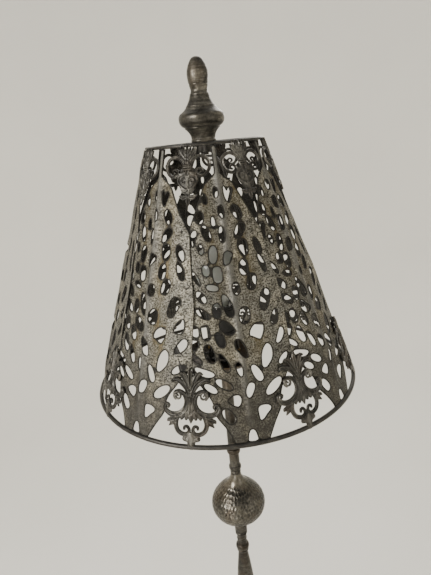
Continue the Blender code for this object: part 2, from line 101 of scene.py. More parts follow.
class Nodes:
    """A material's node tree, with short calls for the nodes used here."""

    def __init__(self, name):
        self.material = bpy.data.materials.new(name)
        self.material.use_nodes = True
        self.tree = self.material.node_tree
        self.shader = self.tree.nodes["Principled BSDF"]

    def fill(self, socket, value):
        """Links an output to the socket, or sets its number, vector or colour (three numbers)."""
        if isinstance(value, bpy.types.NodeSocket):
            self.tree.links.new(value, socket)
        elif isinstance(value, (int, float)) or len(value) == len(socket.default_value):
            socket.default_value = value
        else:
            socket.default_value = (*value, 1.0)

    def add(self, kind, **inputs):
        node = self.tree.nodes.new(f"ShaderNode{kind}")
        for name, value in inputs.items():
            self.fill(node.inputs[name], value)
        return node

    def coordinates(self, scale=(1.0, 1.0, 1.0), uv=None):
        """Object coordinates in metres, or a UV map's, stretched by scale."""
        if uv:
            source = self.add("UVMap")
            source.uv_map = uv
            out = source.outputs["UV"]
        else:
            out = self.add("TexCoord").outputs["Object"]
        return self.add("Mapping", Vector=out, Scale=scale).outputs["Vector"]

    def noise(self, vector, scale, detail=5.0, roughness=0.6, distortion=0.0):
        node = self.add("TexNoise", Vector=vector, Scale=scale, Detail=detail, Roughness=roughness,
                        Distortion=distortion)
        return node.outputs["Fac"]

    def ramp(self, factor, stops):
        """A colour ramp; a stop's colour may be one grey number."""
        node = self.add("ValToRGB", Fac=factor)
        elements = node.color_ramp.elements
        while len(elements) < len(stops):
            elements.new(0.5)
        for element, (place, colour) in zip(elements, stops):
            element.position = place
            element.color = (*((colour,) * 3 if isinstance(colour, float) else colour), 1.0)
        return node.outputs["Color"]

    def mix(self, factor, first, second, blend="MIX"):
        """Mixes two colours; factor and either colour may be a socket or a plain value."""
        node = self.add("Mix")
        node.data_type = "RGBA"
        node.blend_type = blend
        for number, value in ((0, factor), (6, first), (7, second)):
            self.fill(node.inputs[number], value)
        return node.outputs[2]

    def math(self, operation, first, second=0.0):
        node = self.add("Math")
        node.operation = operation
        self.fill(node.inputs[0], first)
        self.fill(node.inputs[1], second)
        return node.outputs[0]

    def attribute(self, name):
        node = self.add("Attribute")
        node.attribute_name = name
        return node.outputs["Fac"]

    def bump(self, height, strength, distance):
        return self.add("Bump", Height=height, Strength=strength, Distance=distance).outputs["Normal"]

    def done(self, colour, roughness, normal, **values):
        inputs = {"Base_Color": colour, "Roughness": roughness, "Normal": normal, **values}
        for name, value in inputs.items():
            self.fill(self.shader.inputs[name.replace("_", " ")], value)
        return self.material


def antique_metal(name, dark, middle, light, grain=320.0, streak=(1.0, 1.0, 0.25), shine=(0.30, 0.55),
                  metallic=0.85, relief=0.25, warm=(0.16, 0.105, 0.055), warmth=0.35, recess=None):
    """Aged cast or turned metal: mottled patina, fine pits, streaks and warmer worn patches."""
    n = Nodes(name)
    place = n.coordinates()
    along = n.coordinates(streak)
    patches = n.noise(place, 38.0, 6.0, 0.62)
    fine = n.noise(place, grain, 8.0, 0.72)
    streaks = n.noise(along, 170.0, 5.0, 0.6)
    blend = n.math("ADD", n.math("MULTIPLY", patches, 0.5), n.math("MULTIPLY", streaks, 0.5))
    colour = n.ramp(blend, [(0.36, dark), (0.50, middle), (0.64, light)])
    speck = n.ramp(fine, [(0.40, 0.45), (0.58, 1.0)])
    colour = n.mix(0.75, colour, speck, "MULTIPLY")
    worn = n.ramp(n.noise(place, 22.0, 4.0, 0.55), [(0.48, 0.0), (0.66, 1.0)])
    colour = n.mix(n.math("MULTIPLY", worn, warmth), colour, warm)
    if recess:
        depth = n.attribute(recess)
        colour = n.mix(n.ramp(depth, [(0.10, 1.0), (0.62, 0.0)]), colour, (0.012, 0.011, 0.010))
        colour = n.mix(n.ramp(depth, [(0.72, 0.0), (1.0, 0.45)]), colour, light)
    rough = n.ramp(n.noise(along, 120.0, 4.0, 0.6), [(0.30, shine[0]), (0.70, shine[1])])
    pits = n.math("ADD", n.math("MULTIPLY", fine, 0.6), n.math("MULTIPLY", streaks, 0.4))
    return n.done(colour, rough, n.bump(pits, relief, 0.0006), Metallic=metallic)


def leaf_metal(name, back=False):
    """Pierced sheet: grey pewter full of dark pits, rust beside the rib and a black line round each hole, dark
    patina on the cut edge with painted shade along it.
    """
    n = Nodes(name)
    flat = n.coordinates(uv="sheet")
    long = n.coordinates((9.0, 0.9, 1.0), uv="sheet")
    speck_noise = n.noise(flat, 54.0, 3.0, 0.65)
    blotch_noise = n.noise(flat, 15.0, 6.0, 0.70, 0.4)
    patch_noise = n.noise(flat, 3.6, 5.0, 0.60, 0.6)
    streak_noise = n.noise(long, 3.0, 5.0, 0.62, 0.3)
    edge = n.attribute("edge")
    rise = n.attribute("rise")
    rib = n.attribute("rib")
    stain = n.attribute("stain")

    tone = n.math("ADD", n.math("MULTIPLY", patch_noise, 0.62), n.math("MULTIPLY", streak_noise, 0.38))
    colour = n.ramp(tone,
                    [(0.38, (0.100, 0.095, 0.080)), (0.50, (0.195, 0.184, 0.152)), (0.62, (0.40, 0.368, 0.292))])
    cool = n.ramp(n.noise(flat, 2.1, 3.0, 0.5), [(0.40, 0.0), (0.60, 0.70)])
    colour = n.mix(cool, colour, (0.155, 0.152, 0.140))
    pits = n.ramp(speck_noise,
                  [(0.38, (0.08, 0.075, 0.065)), (0.47, (0.50, 0.49, 0.46)), (0.56, (1.0, 0.99, 0.96))])
    colour = n.mix(n.math("SUBTRACT", 1.0, n.math("MULTIPLY", rib, 0.80)), colour, pits, "MULTIPLY")
    blotch = n.ramp(blotch_noise, [(0.38, (0.26, 0.25, 0.23)), (0.52, (1.0, 1.0, 1.0))])
    colour = n.mix(0.85, colour, blotch, "MULTIPLY")
    colour = n.mix(n.math("MULTIPLY", rib, 0.75), colour, (0.080, 0.078, 0.071))

    halo_place = n.math("MULTIPLY", n.ramp(edge, [(0.30, 1.0), (1.0, 0.15)]), stain)
    rust = n.mix(n.ramp(streak_noise, [(0.40, 0.0), (0.60, 1.0)]), (0.082, 0.059, 0.025), (0.052, 0.047, 0.024))
    worn = n.math("ADD", n.math("MULTIPLY", halo_place, 1.1), n.math("MULTIPLY", stain, 0.60))
    rusting = n.math("MINIMUM", n.math("MULTIPLY", worn, n.ramp(blotch_noise, [(0.38, 1.0), (0.60, 0.55)])), 0.88)
    colour = n.mix(rusting, colour, rust)
    foot = n.math("MULTIPLY", n.ramp(rise, [(0.13, 1.0), (0.32, 0.0)]),
                  n.ramp(blotch_noise, [(0.34, 0.95), (0.62, 0.62)]))
    colour = n.mix(foot, colour, (0.030, 0.027, 0.022))
    # Black line along hole edges and free edges: dark patina with painted shade of the cut edge.
    colour = n.mix(n.ramp(edge, [(0.20, 0.97), (0.40, 0.0)]), colour, (0.009, 0.008, 0.006))
    # With back set, the sheet is mixed nearly black: painted shade for the inside of the lampshade.
    if back:
        colour = n.mix(0.86, colour, (0.016, 0.015, 0.014))
    rough = n.ramp(speck_noise, [(0.40, 0.75), (0.60, 0.42)])
    height = n.math("ADD", n.math("MULTIPLY", speck_noise, 0.8), n.math("MULTIPLY", blotch_noise, 0.9))
    return n.done(colour, rough, n.bump(height, 0.55, 0.0009), Metallic=0.62)


def plain_finish(name, dark, light, scale, rough, metallic=0.0, relief=0.15, depth=0.0003, **values):
    """A moulded, plated or cast finish: two close tones, uneven gloss and a fine surface."""
    n = Nodes(name)
    place = n.coordinates()
    tone = n.noise(place, scale, 5.0, 0.6)
    fine = n.noise(place, scale * 9.0, 4.0, 0.6)
    colour = n.ramp(n.math("ADD", n.math("MULTIPLY", tone, 0.6), n.math("MULTIPLY", fine, 0.4)),
                    [(0.35, dark), (0.65, light)])
    gloss = n.ramp(tone, [(0.3, rough[0]), (0.7, rough[1])])
    return n.done(colour, gloss, n.bump(fine, relief, depth), Metallic=metallic, **values)


def felt_finish():
    """Pressed wool felt: tangled fibres of two greys with a soft sheen."""
    n = Nodes("felt")
    place = n.coordinates()
    tangle = n.noise(place, 900.0, 6.0, 0.8, 2.5)
    clumps = n.noise(place, 60.0, 3.0, 0.5)
    colour = n.ramp(tangle, [(0.35, (0.012, 0.012, 0.013)), (0.65, (0.055, 0.053, 0.052))])
    colour = n.mix(0.5, colour, n.ramp(clumps, [(0.3, 0.6), (0.7, 1.0)]), "MULTIPLY")
    rough = n.ramp(clumps, [(0.3, 0.88), (0.7, 0.98)])
    return n.done(colour, rough, n.bump(tangle, 0.8, 0.0006), Sheen_Weight=0.35)


def glass_finish():
    """A bulb painted mid grey as painted shade for its place inside the lampshade: smooth, faintly uneven."""
    n = Nodes("frosted_glass")
    place = n.coordinates()
    cloud = n.noise(place, 45.0, 3.0, 0.5)
    # Mid-grey colour of the glass: painted shade.
    colour = n.ramp(cloud, [(0.3, (0.30, 0.29, 0.26)), (0.7, (0.38, 0.37, 0.335))])
    rough = n.ramp(n.noise(place, 160.0, 3.0, 0.5), [(0.3, 0.16), (0.7, 0.26)])
    return n.done(colour, rough, n.bump(cloud, 0.05, 0.0002), Coat_Weight=0.5, Subsurface_Weight=0.15)


PEWTER_TONES = ((0.016, 0.015, 0.013), (0.044, 0.041, 0.036), (0.105, 0.098, 0.083))
FINISH = {
    "patina_pewter": leaf_metal("patina_pewter"),
    "ornament_pewter": antique_metal(
        "ornament_pewter", (0.018, 0.017, 0.015), (0.054, 0.051, 0.045), (0.180, 0.171, 0.149),
        grain=420.0, shine=(0.30, 0.50), metallic=0.72, recess="height", warmth=0.12),
    "finial_pewter": antique_metal(
        "finial_pewter", (0.024, 0.022, 0.019), (0.066, 0.061, 0.051), (0.165, 0.152, 0.124),
        grain=300.0, streak=(0.35, 0.35, 2.2), shine=(0.28, 0.48), relief=0.35, warmth=0.16,
        warm=(0.150, 0.110, 0.070)),
    "pewter": antique_metal("pewter", *PEWTER_TONES, streak=(0.4, 0.4, 2.0), warmth=0.15),
    "pewter_tube": antique_metal(
        "pewter_tube", *PEWTER_TONES, streak=(1.4, 1.4, 0.12), shine=(0.25, 0.42), warmth=0.15),
    "hammered_pewter": antique_metal(
        "hammered_pewter", (0.036, 0.034, 0.029), (0.072, 0.067, 0.057), (0.150, 0.139, 0.115),
        streak=(1.2, 1.2, 0.4), shine=(0.20, 0.36), recess="height", warmth=0.20, relief=0.15),
    "dark_steel": plain_finish("dark_steel", (0.018, 0.017, 0.016), (0.060, 0.056, 0.050), 90.0, (0.32, 0.50), 0.8),
    "dish_bronze": antique_metal(
        "dish_bronze", (0.020, 0.017, 0.014), (0.050, 0.042, 0.034), (0.11, 0.092, 0.070), shine=(0.34, 0.52)),
    "zinc_steel": plain_finish("zinc_steel", (0.28, 0.28, 0.27), (0.46, 0.46, 0.45), 120.0, (0.24, 0.42), 1.0),
    "cast_iron": plain_finish("cast_iron", (0.020, 0.020, 0.020), (0.065, 0.060, 0.055), 70.0, (0.55, 0.80), 0.4,
                              relief=0.8, depth=0.0008),
    "felt": felt_finish(),
    "black_plastic": plain_finish(
        "black_plastic", (0.008, 0.008, 0.008), (0.020, 0.020, 0.020), 80.0, (0.32, 0.46)),
    "socket_black": plain_finish("socket_black", (0.005, 0.005, 0.005), (0.014, 0.013, 0.012), 60.0, (0.48, 0.66)),
    "socket_lining": plain_finish("socket_lining", (0.60, 0.58, 0.53), (0.74, 0.72, 0.67), 60.0, (0.22, 0.38)),
    "brass": plain_finish("brass", (0.13, 0.092, 0.045), (0.26, 0.19, 0.095), 90.0, (0.30, 0.50), 1.0),
    "bulb_cap_metal": plain_finish(
        "bulb_cap_metal", (0.42, 0.42, 0.41), (0.62, 0.62, 0.60), 80.0, (0.20, 0.38), 1.0),
    "frosted_glass": glass_finish(),
}
# The leaves' inner face and hole walls: the leaf finish darkened as painted shade.
LEAF_SHADED_BACK = leaf_metal("patina_pewter_back_painted_shade", back=True)
SLOT_OF = {part["node"]: part["material_slot"] for part in frame["record"]["subparts"]}
BODY_OF = {name: obj["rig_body"] for name, obj in frame["nodes"].items()}


# ---------------------------------------------------------------- shared shape helpers


def in_scene(name, data):
    obj = bpy.data.objects.new(name, data)
    bpy.context.scene.collection.objects.link(obj)
    return obj


def place_piece(name, mesh, node, more_finishes=()):
    """Puts a finished mesh in place of a CAD node, with its body, slot and finish."""
    obj = in_scene(name, mesh)
    if not mesh.materials:
        mesh.materials.append(FINISH[SLOT_OF[node]])
        for finish in more_finishes:
            mesh.materials.append(finish)
    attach(obj, BODY_OF[node])
    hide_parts(node)
    return obj


def smooth(mesh, angle=40.0):
    mesh.shade_smooth()
    mesh.set_sharp_from_angle(angle=math.radians(angle))


def finished(mesh, node, angle=40.0):
    """Shades a mesh and puts it in place of its CAD node, under the mesh's own name."""
    smooth(mesh, angle)
    return place_piece(mesh.name, mesh, node)


def as_mesh(name, shape):
    """The bmesh made into a mesh, and freed."""
    mesh = bpy.data.meshes.new(name)
    shape.to_mesh(mesh)
    shape.free()
    return mesh


def store(mesh, name, values):
    """Keeps one number for each point, for the materials."""
    mesh.attributes.new(name, "FLOAT", "POINT").data.foreach_set("value", values)


def thicken(obj, name, thickness):
    """Gives a sheet its thickness, inwards."""
    shell = obj.modifiers.new(name, "SOLIDIFY")
    shell.thickness = thickness
    shell.offset = -1.0
    return shell


def clamp(value):
    return min(1.0, max(0.0, value))


def metres(rows, base=0.0):
    """(radius, height) rows in mm, raised by base, in metres."""
    return [(radius * MM, (base + height) * MM) for radius, height in rows]


def ring_sizes(node):
    """Radius of a ring's wire circle, its height, and the wire's radius (a six-sided section)."""
    low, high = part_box(node)
    wire = (high.z - low.z) / 2 / math.cos(math.pi / 6)
    return high.x - wire, (high.z + low.z) / 2, wire


RIM_RADIUS, RIM_HEIGHT, RIM_WIRE = ring_sizes("bottom_ring")
CROWN_RADIUS, CROWN_HEIGHT, CROWN_WIRE = ring_sizes("top_ring")
LEAN = math.atan2(RIM_RADIUS - CROWN_RADIUS, CROWN_HEIGHT - RIM_HEIGHT)
SLANT = math.hypot(RIM_RADIUS - CROWN_RADIUS, CROWN_HEIGHT - RIM_HEIGHT) / MM


def cone_radius(s):
    """The cone's radius at a slope length, both in mm."""
    return RIM_RADIUS / MM - s * math.sin(LEAN)


def on_cone(x, s, lift, heading):
    """The place of an unrolled point, raised from the sheet by lift (mm)."""
    angle = heading + x / cone_radius(s)
    reach = (cone_radius(s) + lift * math.cos(LEAN)) * MM
    height = RIM_HEIGHT + (s * math.cos(LEAN) + lift * math.sin(LEAN)) * MM
    return Vector((reach * math.sin(angle), -reach * math.cos(angle), height))


def heading_of(node):
    """A node's mean direction round the lamp, from the front towards +X."""
    total = Vector((0.0, 0.0))
    for vertex in frame["nodes"][node].data.vertices:
        total += vertex.co.xy.normalized()
    return math.atan2(total.x, -total.y)


def inside(point, outline):
    """Whether a point lies inside a closed outline."""
    x, y = point
    hit = False
    for (x0, y0), (x1, y1) in zip(outline, outline[1:] + outline[:1]):
        if (y0 > y) != (y1 > y) and x < (x1 - x0) * (y - y0) / (y1 - y0) + x0:
            hit = not hit
    return hit


def resample(outline, step):
    """A closed outline with its long sides divided."""
    points = []
    for (x0, y0), (x1, y1) in zip(outline, outline[1:] + outline[:1]):
        parts = max(1, round(math.hypot(x1 - x0, y1 - y0) / step))
        for part in range(parts):
            points.append((x0 + (x1 - x0) * part / parts, y0 + (y1 - y0) * part / parts))
    return points


def between(t, start, end, first, last):
    """The point between two others, by where t lies from start to end."""
    return (end - t) / (end - start) * first + (t - start) / (end - start) * last


def spline(points, steps, closed=False):
    """A centripetal Catmull-Rom line through 2-D or 3-D points."""
    pts = [np.array(p, float) for p in points]
    if closed:
        ring = [pts[-1], *pts, pts[0], pts[1]]
    else:
        ring = [2 * pts[0] - pts[1], *pts, 2 * pts[-1] - pts[-2]]
    out = []
    for i in range(1, len(ring) - 2):
        p0, p1, p2, p3 = ring[i - 1 : i + 3]
        knots = [0.0]
        for p, q in ((p0, p1), (p1, p2), (p2, p3)):
            knots.append(knots[-1] + max(1e-9, np.linalg.norm(q - p) ** 0.5))
        t0, t1, t2, t3 = knots
        for k in range(steps):
            t = t1 + (t2 - t1) * k / steps
            middle = between(t, t1, t2, p1, p2)
            first = between(t, t0, t2, between(t, t0, t1, p0, p1), middle)
            last = between(t, t1, t3, middle, between(t, t2, t3, p2, p3))
            out.append(tuple(between(t, t1, t2, first, last)))
    if not closed:
        out.append(tuple(pts[-1]))
    return out


# ---------------------------------------------------------------- the pierced leaves

# Each hole: x, s, length, width, lean from upright (+ is top to the right), squareness, egg, bend.
HOLES = [
    (4, 58.8, 16, 9, 22, 2.3, 0.1, 0.15),
    (32, 57.6, 24, 11, 54, 2),
    (14.3, 76, 20.5, 8.8, -26, 2.3, -0.15),
    (-23.5, 33, 18, 10.5, -32, 2.4, -0.1),
    (48.5, 84.8, 15, 7, 52, 2),
    (48, 110.8, 17.5, 7.5, 25, 2.2, 0, -0.4),
    (44.5, 133, 16, 7.8, 14, 2.2, -0.55),
    (9, 141.2, 17.5, 11.5, 8, 2.4),
    (35.2, 154.2, 23.5, 11, 18, 2.5, 0.15),
    (3.4, 171.6, 13, 7.8, 0, 2.3),
    (22.6, 176.6, 17.5, 10.5, 14, 2.6),
    (15.6, 194, 17, 9.5, 4, 2.4, -0.1, 0.1),
    (38, 195, 22, 5.5, -18, 1.8),
    (18, 216, 18.5, 10.5, -6, 2.4, 0.15),
    (35.5, 215, 19, 6.5, -18, 1.9, 0, 0.1),
    (16.5, 235, 18.5, 9.5, 34, 2.2, 0.25),
    (16, 256, 17, 9, -24, 2.3),
    (-24, 68, 20, 8.5, -58, 2.1),
    (-39.5, 64.5, 15.5, 7.5, -56, 2.1),
    (-44.2, 82.4, 22.5, 8, -70, 2.1, 0, 0.35),
    (-5, 83, 15.5, 5.5, -8, 2, 0.2),
    (-20.8, 91.8, 21, 7.2, -20, 2.1, -0.3),
    (-35.2, 102.6, 20.5, 10, -12, 2.3, 0, 0.15),
    (-51.2, 97.4, 14.5, 6, -48, 1.9),
    (0.4, 105.4, 22.5, 8.5, -25, 2.1, 0.2),
    (-21.6, 117.4, 17, 9.2, -16, 2.3),
    (-12.4, 129.8, 18.6, 11, -44, 2.4, 0, 0.25),
    (-36.6, 126.2, 15, 8.5, -3, 4),
    (-48.4, 127.6, 11.5, 7.5, 0, 3),
    (-21, 149.4, 16, 8.8, 5, 2.3),
    (-8.4, 153.8, 26, 9, -14, 2.1, -0.15),
    (-37, 147, 17.5, 8, -52, 2.1),
    (-36.4, 165.4, 14.5, 8.2, -34, 2),
    (-22.5, 175, 13, 6.5, -78, 2.4),
    (-14.8, 189.2, 17.5, 10, 0, 3),
    (-27, 194.4, 12, 7.8, 0, 2.4),
    (-39, 186, 16.5, 4.5, -24, 1.8),
    (-1.5, 206, 15, 8, 22, 2.6, 0.45),
    (-16.8, 211.6, 19.5, 9, 8, 2.2),
    (-29.5, 218, 10.5, 5.5, 0, 2),
    (-37, 227, 10, 3.5, 10, 1.9),
    (-4, 233, 18, 5.5, 0, 2.1),
    (-21, 235.5, 18, 8, -15, 2.2),
    (-35.2, 234.6, 10.5, 6.5, 30, 2),
    (-11.5, 247, 12.5, 4, 0, 2),
    (-26.4, 253.6, 14, 9, 4, 2.2),
    (-1.5, 258, 14, 5, -5, 2.1),
    (-17.8, 273.6, 11, 5, -5, 2.1),
    (-4.5, 280, 11, 4, 0, 2.1),
]
# Holes with their own outlines: the foot arch, a pick, its small partner, a boomerang, a bell, a triangle, a tear.
SHAPED_HOLES = [
    [(-4.8, 3.9), (4.8, 3.9), (4.6, 8), (3.4, 12.6), (1.2, 15.4), (-1.6, 15.2), (-3.8, 11.6), (-4.8, 7.6)],
    [(11.8, 24.2), (15.4, 25.4), (19, 29.2), (24.4, 34), (24.6, 36.6), (20.6, 39.2), (13.4, 39.6), (10.6, 37.4),
     (10.4, 30)],
    [(-22, 49.8), (-15.5, 54.6), (-9.6, 54.4), (-7.6, 50.6), (-9.6, 44.2), (-12.4, 42.8)],
    [(22.2, 81.6), (21.8, 88), (22.8, 95), (26, 102), (30.4, 105.4), (34.2, 102.6), (35.8, 96), (34.4, 89),
     (30, 83.4), (25.4, 80.2)],
    [(12.6, 118), (14, 117.6), (23.2, 112.6), (24.4, 113.4), (28.2, 121), (28.4, 127.4), (26.2, 129.6),
     (20.6, 129.8), (15.4, 126.4), (12.6, 121.6)],
    [(-56, 117.5), (-46.5, 116.8), (-45.6, 114.6), (-49, 109), (-51.5, 106.6), (-54, 110.5)],
    [(9, 268.4), (12.6, 276), (14.2, 282.5), (11, 284), (8.6, 280.4), (5.4, 286), (4.8, 279), (6.4, 271)],
]


def hole_outline(x, s, length, width, lean, square, egg=0.0, bend=0.0, points=18):
    """A smooth closed hole: an oval that may be egg-shaped, bent or squared."""
    outline = []
    turn = math.radians(lean)
    for k in range(points):
        t = math.tau * k / points
        c, d = math.cos(t), math.sin(t)
        along = length / 2 * math.copysign(abs(c) ** (2 / square), c)
        across = width / 2 * math.copysign(abs(d) ** (2 / square), d) * (1 + egg * c)
        across += bend * width / 2 * (c * c - 0.45)
        outline.append(
            (
                x + across * math.cos(turn) + along * math.sin(turn),
                s - across * math.sin(turn) + along * math.cos(turn),
            )
        )
    return outline


def leaf_outline():
    """The leaf's edge: a narrow foot, a wide middle that follows the seams, and a tip along the rib."""
    right_foot = [(18.6, 1.6), (20.4, 5.0), (23.4, 10.5), (28.8, 20.0)]
    left_foot = [(-21.6, 1.6), (-21.8, 5.0), (-24.4, 12.0), (-29.0, 20.6)]
    flare = [(38.2, 35.2), (39.0, 46.0), (42.5, 55.5), (50.5, 67.5), (57.0, 80.0)]
    right = spline(right_foot + flare, 3)
    left = spline(left_foot + [(-x, s) for x, s in flare], 3)
    for s in range(88, 236, 8):
        bulge = math.radians(1.6) * math.exp(-(((s - 158.0) / 34.0) ** 2))
        right.append((cone_radius(s) * (LEAF_RIGHT + bulge), s))
        left.append((-cone_radius(s) * LEAF_LEFT, s))
    tip = [(41.4, 237.0), (36.5, 248.0), (28.0, 265.0), (22.0, 278.0), (16.0, 290.0), (8.0, 297.0), (3.6, 301.5)]
    for x, s in spline(tip, 3):
        right.append((min(x, cone_radius(s) * LEAF_RIGHT), s))
        left.append((-min(x, cone_radius(s) * LEAF_LEFT), s))
    for s in (306.0, 314.0, 322.0, SLANT - 2.2):
        right.append((3.1, s))
        left.append((-3.1, s))
    return resample(right + left[::-1], 3.2)


def leaf_lift(x, s, seed):
    """Height of the sheet over the cone: rib, curled right edge, tucked left edge, uneven panels."""
    half = RIB_HALF if s < 295 else RIB_HALF - 0.5 * min(1.0, (s - 295) / 12)
    start = clamp((s - 19.0) / 22.0)
    rib = RIB_HEIGHT * start * max(0.0, 1.0 - (x / half) ** 2) ** 0.75
    radius = cone_radius(s)
    along = clamp((s - 84.0) / 30.0) * clamp((250.0 - s) / 20.0)
    to_right = radius * LEAF_RIGHT - x
    to_left = x + radius * LEAF_LEFT
    curl = 1.4 * along * max(0.0, 1.0 - to_right / 9.0) ** 1.6
    tuck = -0.55 * along * max(0.0, 1.0 - to_left / 6.0)
    wave = 0.85 * noise.noise(Vector((x / 34.0, s / 42.0, seed)))
    wave += 0.22 * noise.noise(Vector((x / 9.0, s / 11.0, seed)))
    trough = -0.9 * max(0.0, 1.0 - abs(abs(x) - 8.5) / 5.5) * start
    return rib + curl + tuck + wave * clamp((s - 4.0) / 15.0) + trough * 0.5


def rust_at(x, s, seed):
    """How far the leaf has rusted, 0 to 1: mostly just right of the rib, some left of it."""
    bands = math.exp(-(((x - 19.0) / 9.0) ** 2)) + 0.75 * math.exp(-(((x + 17.0) / 7.0) ** 2))
    patch = 0.62 + 0.9 * noise.noise(Vector((x / 30.0, s / 46.0, seed + 4.0)))
    return clamp(bands * patch) * clamp((s - 66.0) / 40.0)


def grown(outline, gap):
    """The outline moved outwards, away from its middle line, by gap."""
    grown_points = []
    count = len(outline)
    area = sum(x0 * y1 - x1 * y0 for (x0, y0), (x1, y1) in zip(outline, outline[1:] + outline[:1]))
    sign = 1.0 if area > 0 else -1.0
    for k, (x, y) in enumerate(outline):
        x0, y0 = outline[k - 1]
        x1, y1 = outline[(k + 1) % count]
        dx, dy = x1 - x0, y1 - y0
        size = math.hypot(dx, dy) or 1.0
        grown_points.append((x + sign * dy / size * gap, y - sign * dx / size * gap))
    return grown_points


def leaf_pattern():
    """Points, triangles and distance to the nearest hole or free edge of the flat pierced leaf."""
    outline = leaf_outline()
    holes = [hole_outline(*hole) for hole in HOLES] + [spline(shape, 3, closed=True) for shape in SHAPED_HOLES]
    rims = [outline, *holes]
    points, edges = [], []
    for rim in rims:
        first = len(points)
        points += rim
        edges += [(first + k, first + (k + 1) % len(rim)) for k in range(len(rim))]
    edge_tree, dark_tree = KDTree(len(points) * 3), KDTree(len(points) * 3)
    dense = 0
    for rim in rims:
        for (x0, y0), (x1, y1) in zip(rim, rim[1:] + rim[:1]):
            for part in (0.0, 1 / 3, 2 / 3):
                spot = (x0 + (x1 - x0) * part, y0 + (y1 - y0) * part, 0.0)
                edge_tree.insert(spot, dense)
                # The painted black line leaves out the seams' stretch of the outline.
                if rim is not outline or not 84 < spot[1] < 238:
                    dark_tree.insert(spot, dense)
                dense += 1
    edge_tree.balance()
    dark_tree.balance()

    def distance(point):
        return edge_tree.find((point[0], point[1], 0.0))[2]

    def in_hole(point, hole):
        near = abs(point[0] - hole[0][0]) < HOLE_REACH and abs(point[1] - hole[0][1]) < HOLE_REACH
        return near and inside(point, hole)

    def in_sheet(point):
        return inside(point, outline) and not any(in_hole(point, hole) for hole in holes)

    extra = []
    for rim in rims:
        halo = grown(rim, 0.9 if rim is not outline else -0.9)
        extra += [p for p in halo if distance(p) > 0.7 and in_sheet(p)]
    extra_tree = KDTree(max(1, len(extra)))
    for k, p in enumerate(extra):
        extra_tree.insert((p[0], p[1], 0.0), k)
    extra_tree.balance()
    pitch = 3.4
    for row in range(int(SLANT / (pitch * 0.866)) + 1):
        s = row * pitch * 0.866
        for column in range(-20, 21):
            p = ((column + (row % 2) / 2) * pitch, s)
            if distance(p) > 1.6 and extra_tree.find((p[0], p[1], 0.0))[2] > 1.1 and in_sheet(p):
                extra.append(p)
    for s in np.arange(24.0, SLANT - 4, 3.0):
        extra += [p for p in ((0.0, s), (2.0, s), (-2.0, s)) if distance(p) > 0.8 and in_sheet(p)]
    points += extra
    made, _, faces, _, _, _ = delaunay_2d_cdt([Vector(p) for p in points], edges, [], 0, 1e-5)
    kept = []
    for face in faces:
        middle = (sum(made[i].x for i in face) / 3, sum(made[i].y for i in face) / 3)
        if in_sheet(middle):
            kept.append(tuple(face))
    used = sorted({i for face in kept for i in face})
    number = {old: new for new, old in enumerate(used)}
    flat = [(made[i].x, made[i].y) for i in used]
    faces = [tuple(number[i] for i in face) for face in kept]
    return flat, faces, [dark_tree.find((x, s, 0.0))[2] for x, s in flat]


# One leaf, counted from the front one, has its pattern this far round from the even pitch (degrees).
PATTERN_SLIP = {-1: -2.1}
# How far the front leaf is round from the front, in pitches.
FRONT_LEAF = 0.17
# The slip fades from this share of the half leaf's width, over this share, so that the seams stay.
SLIP_FADE, SLIP_FADE_OVER = 0.80, 0.20


def make_leaves():
    flat, faces, edge = leaf_pattern()
    for number in range(1, LEAVES + 1):
        node = f"leaf_{number}"
        heading = heading_of(node)
        seed = 11.7 * number
        mesh = bpy.data.meshes.new(f"pierced_{node}")
        slip = PATTERN_SLIP.get(round(math.degrees(heading) / LEAF_PITCH - FRONT_LEAF), 0.0)
        spots = []
        for x, s in flat:
            side = abs(x) / cone_radius(s) / LEAF_LEFT
            hold = clamp(1.0 - (side - SLIP_FADE) / SLIP_FADE_OVER) if s > 80 else 1.0
            spots.append(on_cone(x, s, leaf_lift(x, s, seed), heading + math.radians(slip) * hold))
        mesh.from_pydata(spots, [], faces)
        uv = mesh.uv_layers.new(name="sheet")
        for loop in mesh.loops:
            x, s = flat[loop.vertex_index]
            uv.data[loop.index].uv = (x / SHEET_UV + 1.37 * number, s / SHEET_UV + 0.61 * number)
        store(mesh, "edge", [min(1.0, d / EDGE_REACH) for d in edge])
        store(mesh, "rib", [max(0.0, 1.0 - (x / RIB_REACH) ** 2) for x, _ in flat])
        store(mesh, "stain", [rust_at(x, s, seed) for x, s in flat])
        store(mesh, "rise", [s / SLANT for _, s in flat])
        shell = thicken(place_piece(f"pierced_{node}", mesh, node, (LEAF_SHADED_BACK,)), "Sheet", SHEET * MM)
        shell.use_even_offset = True
        # The inner face and the cut walls take the darkened back finish, which is painted shade.
        shell.material_offset = 1
        shell.material_offset_rim = 1
        smooth(mesh, 50.0)


# ---------------------------------------------------------------- cast ornaments

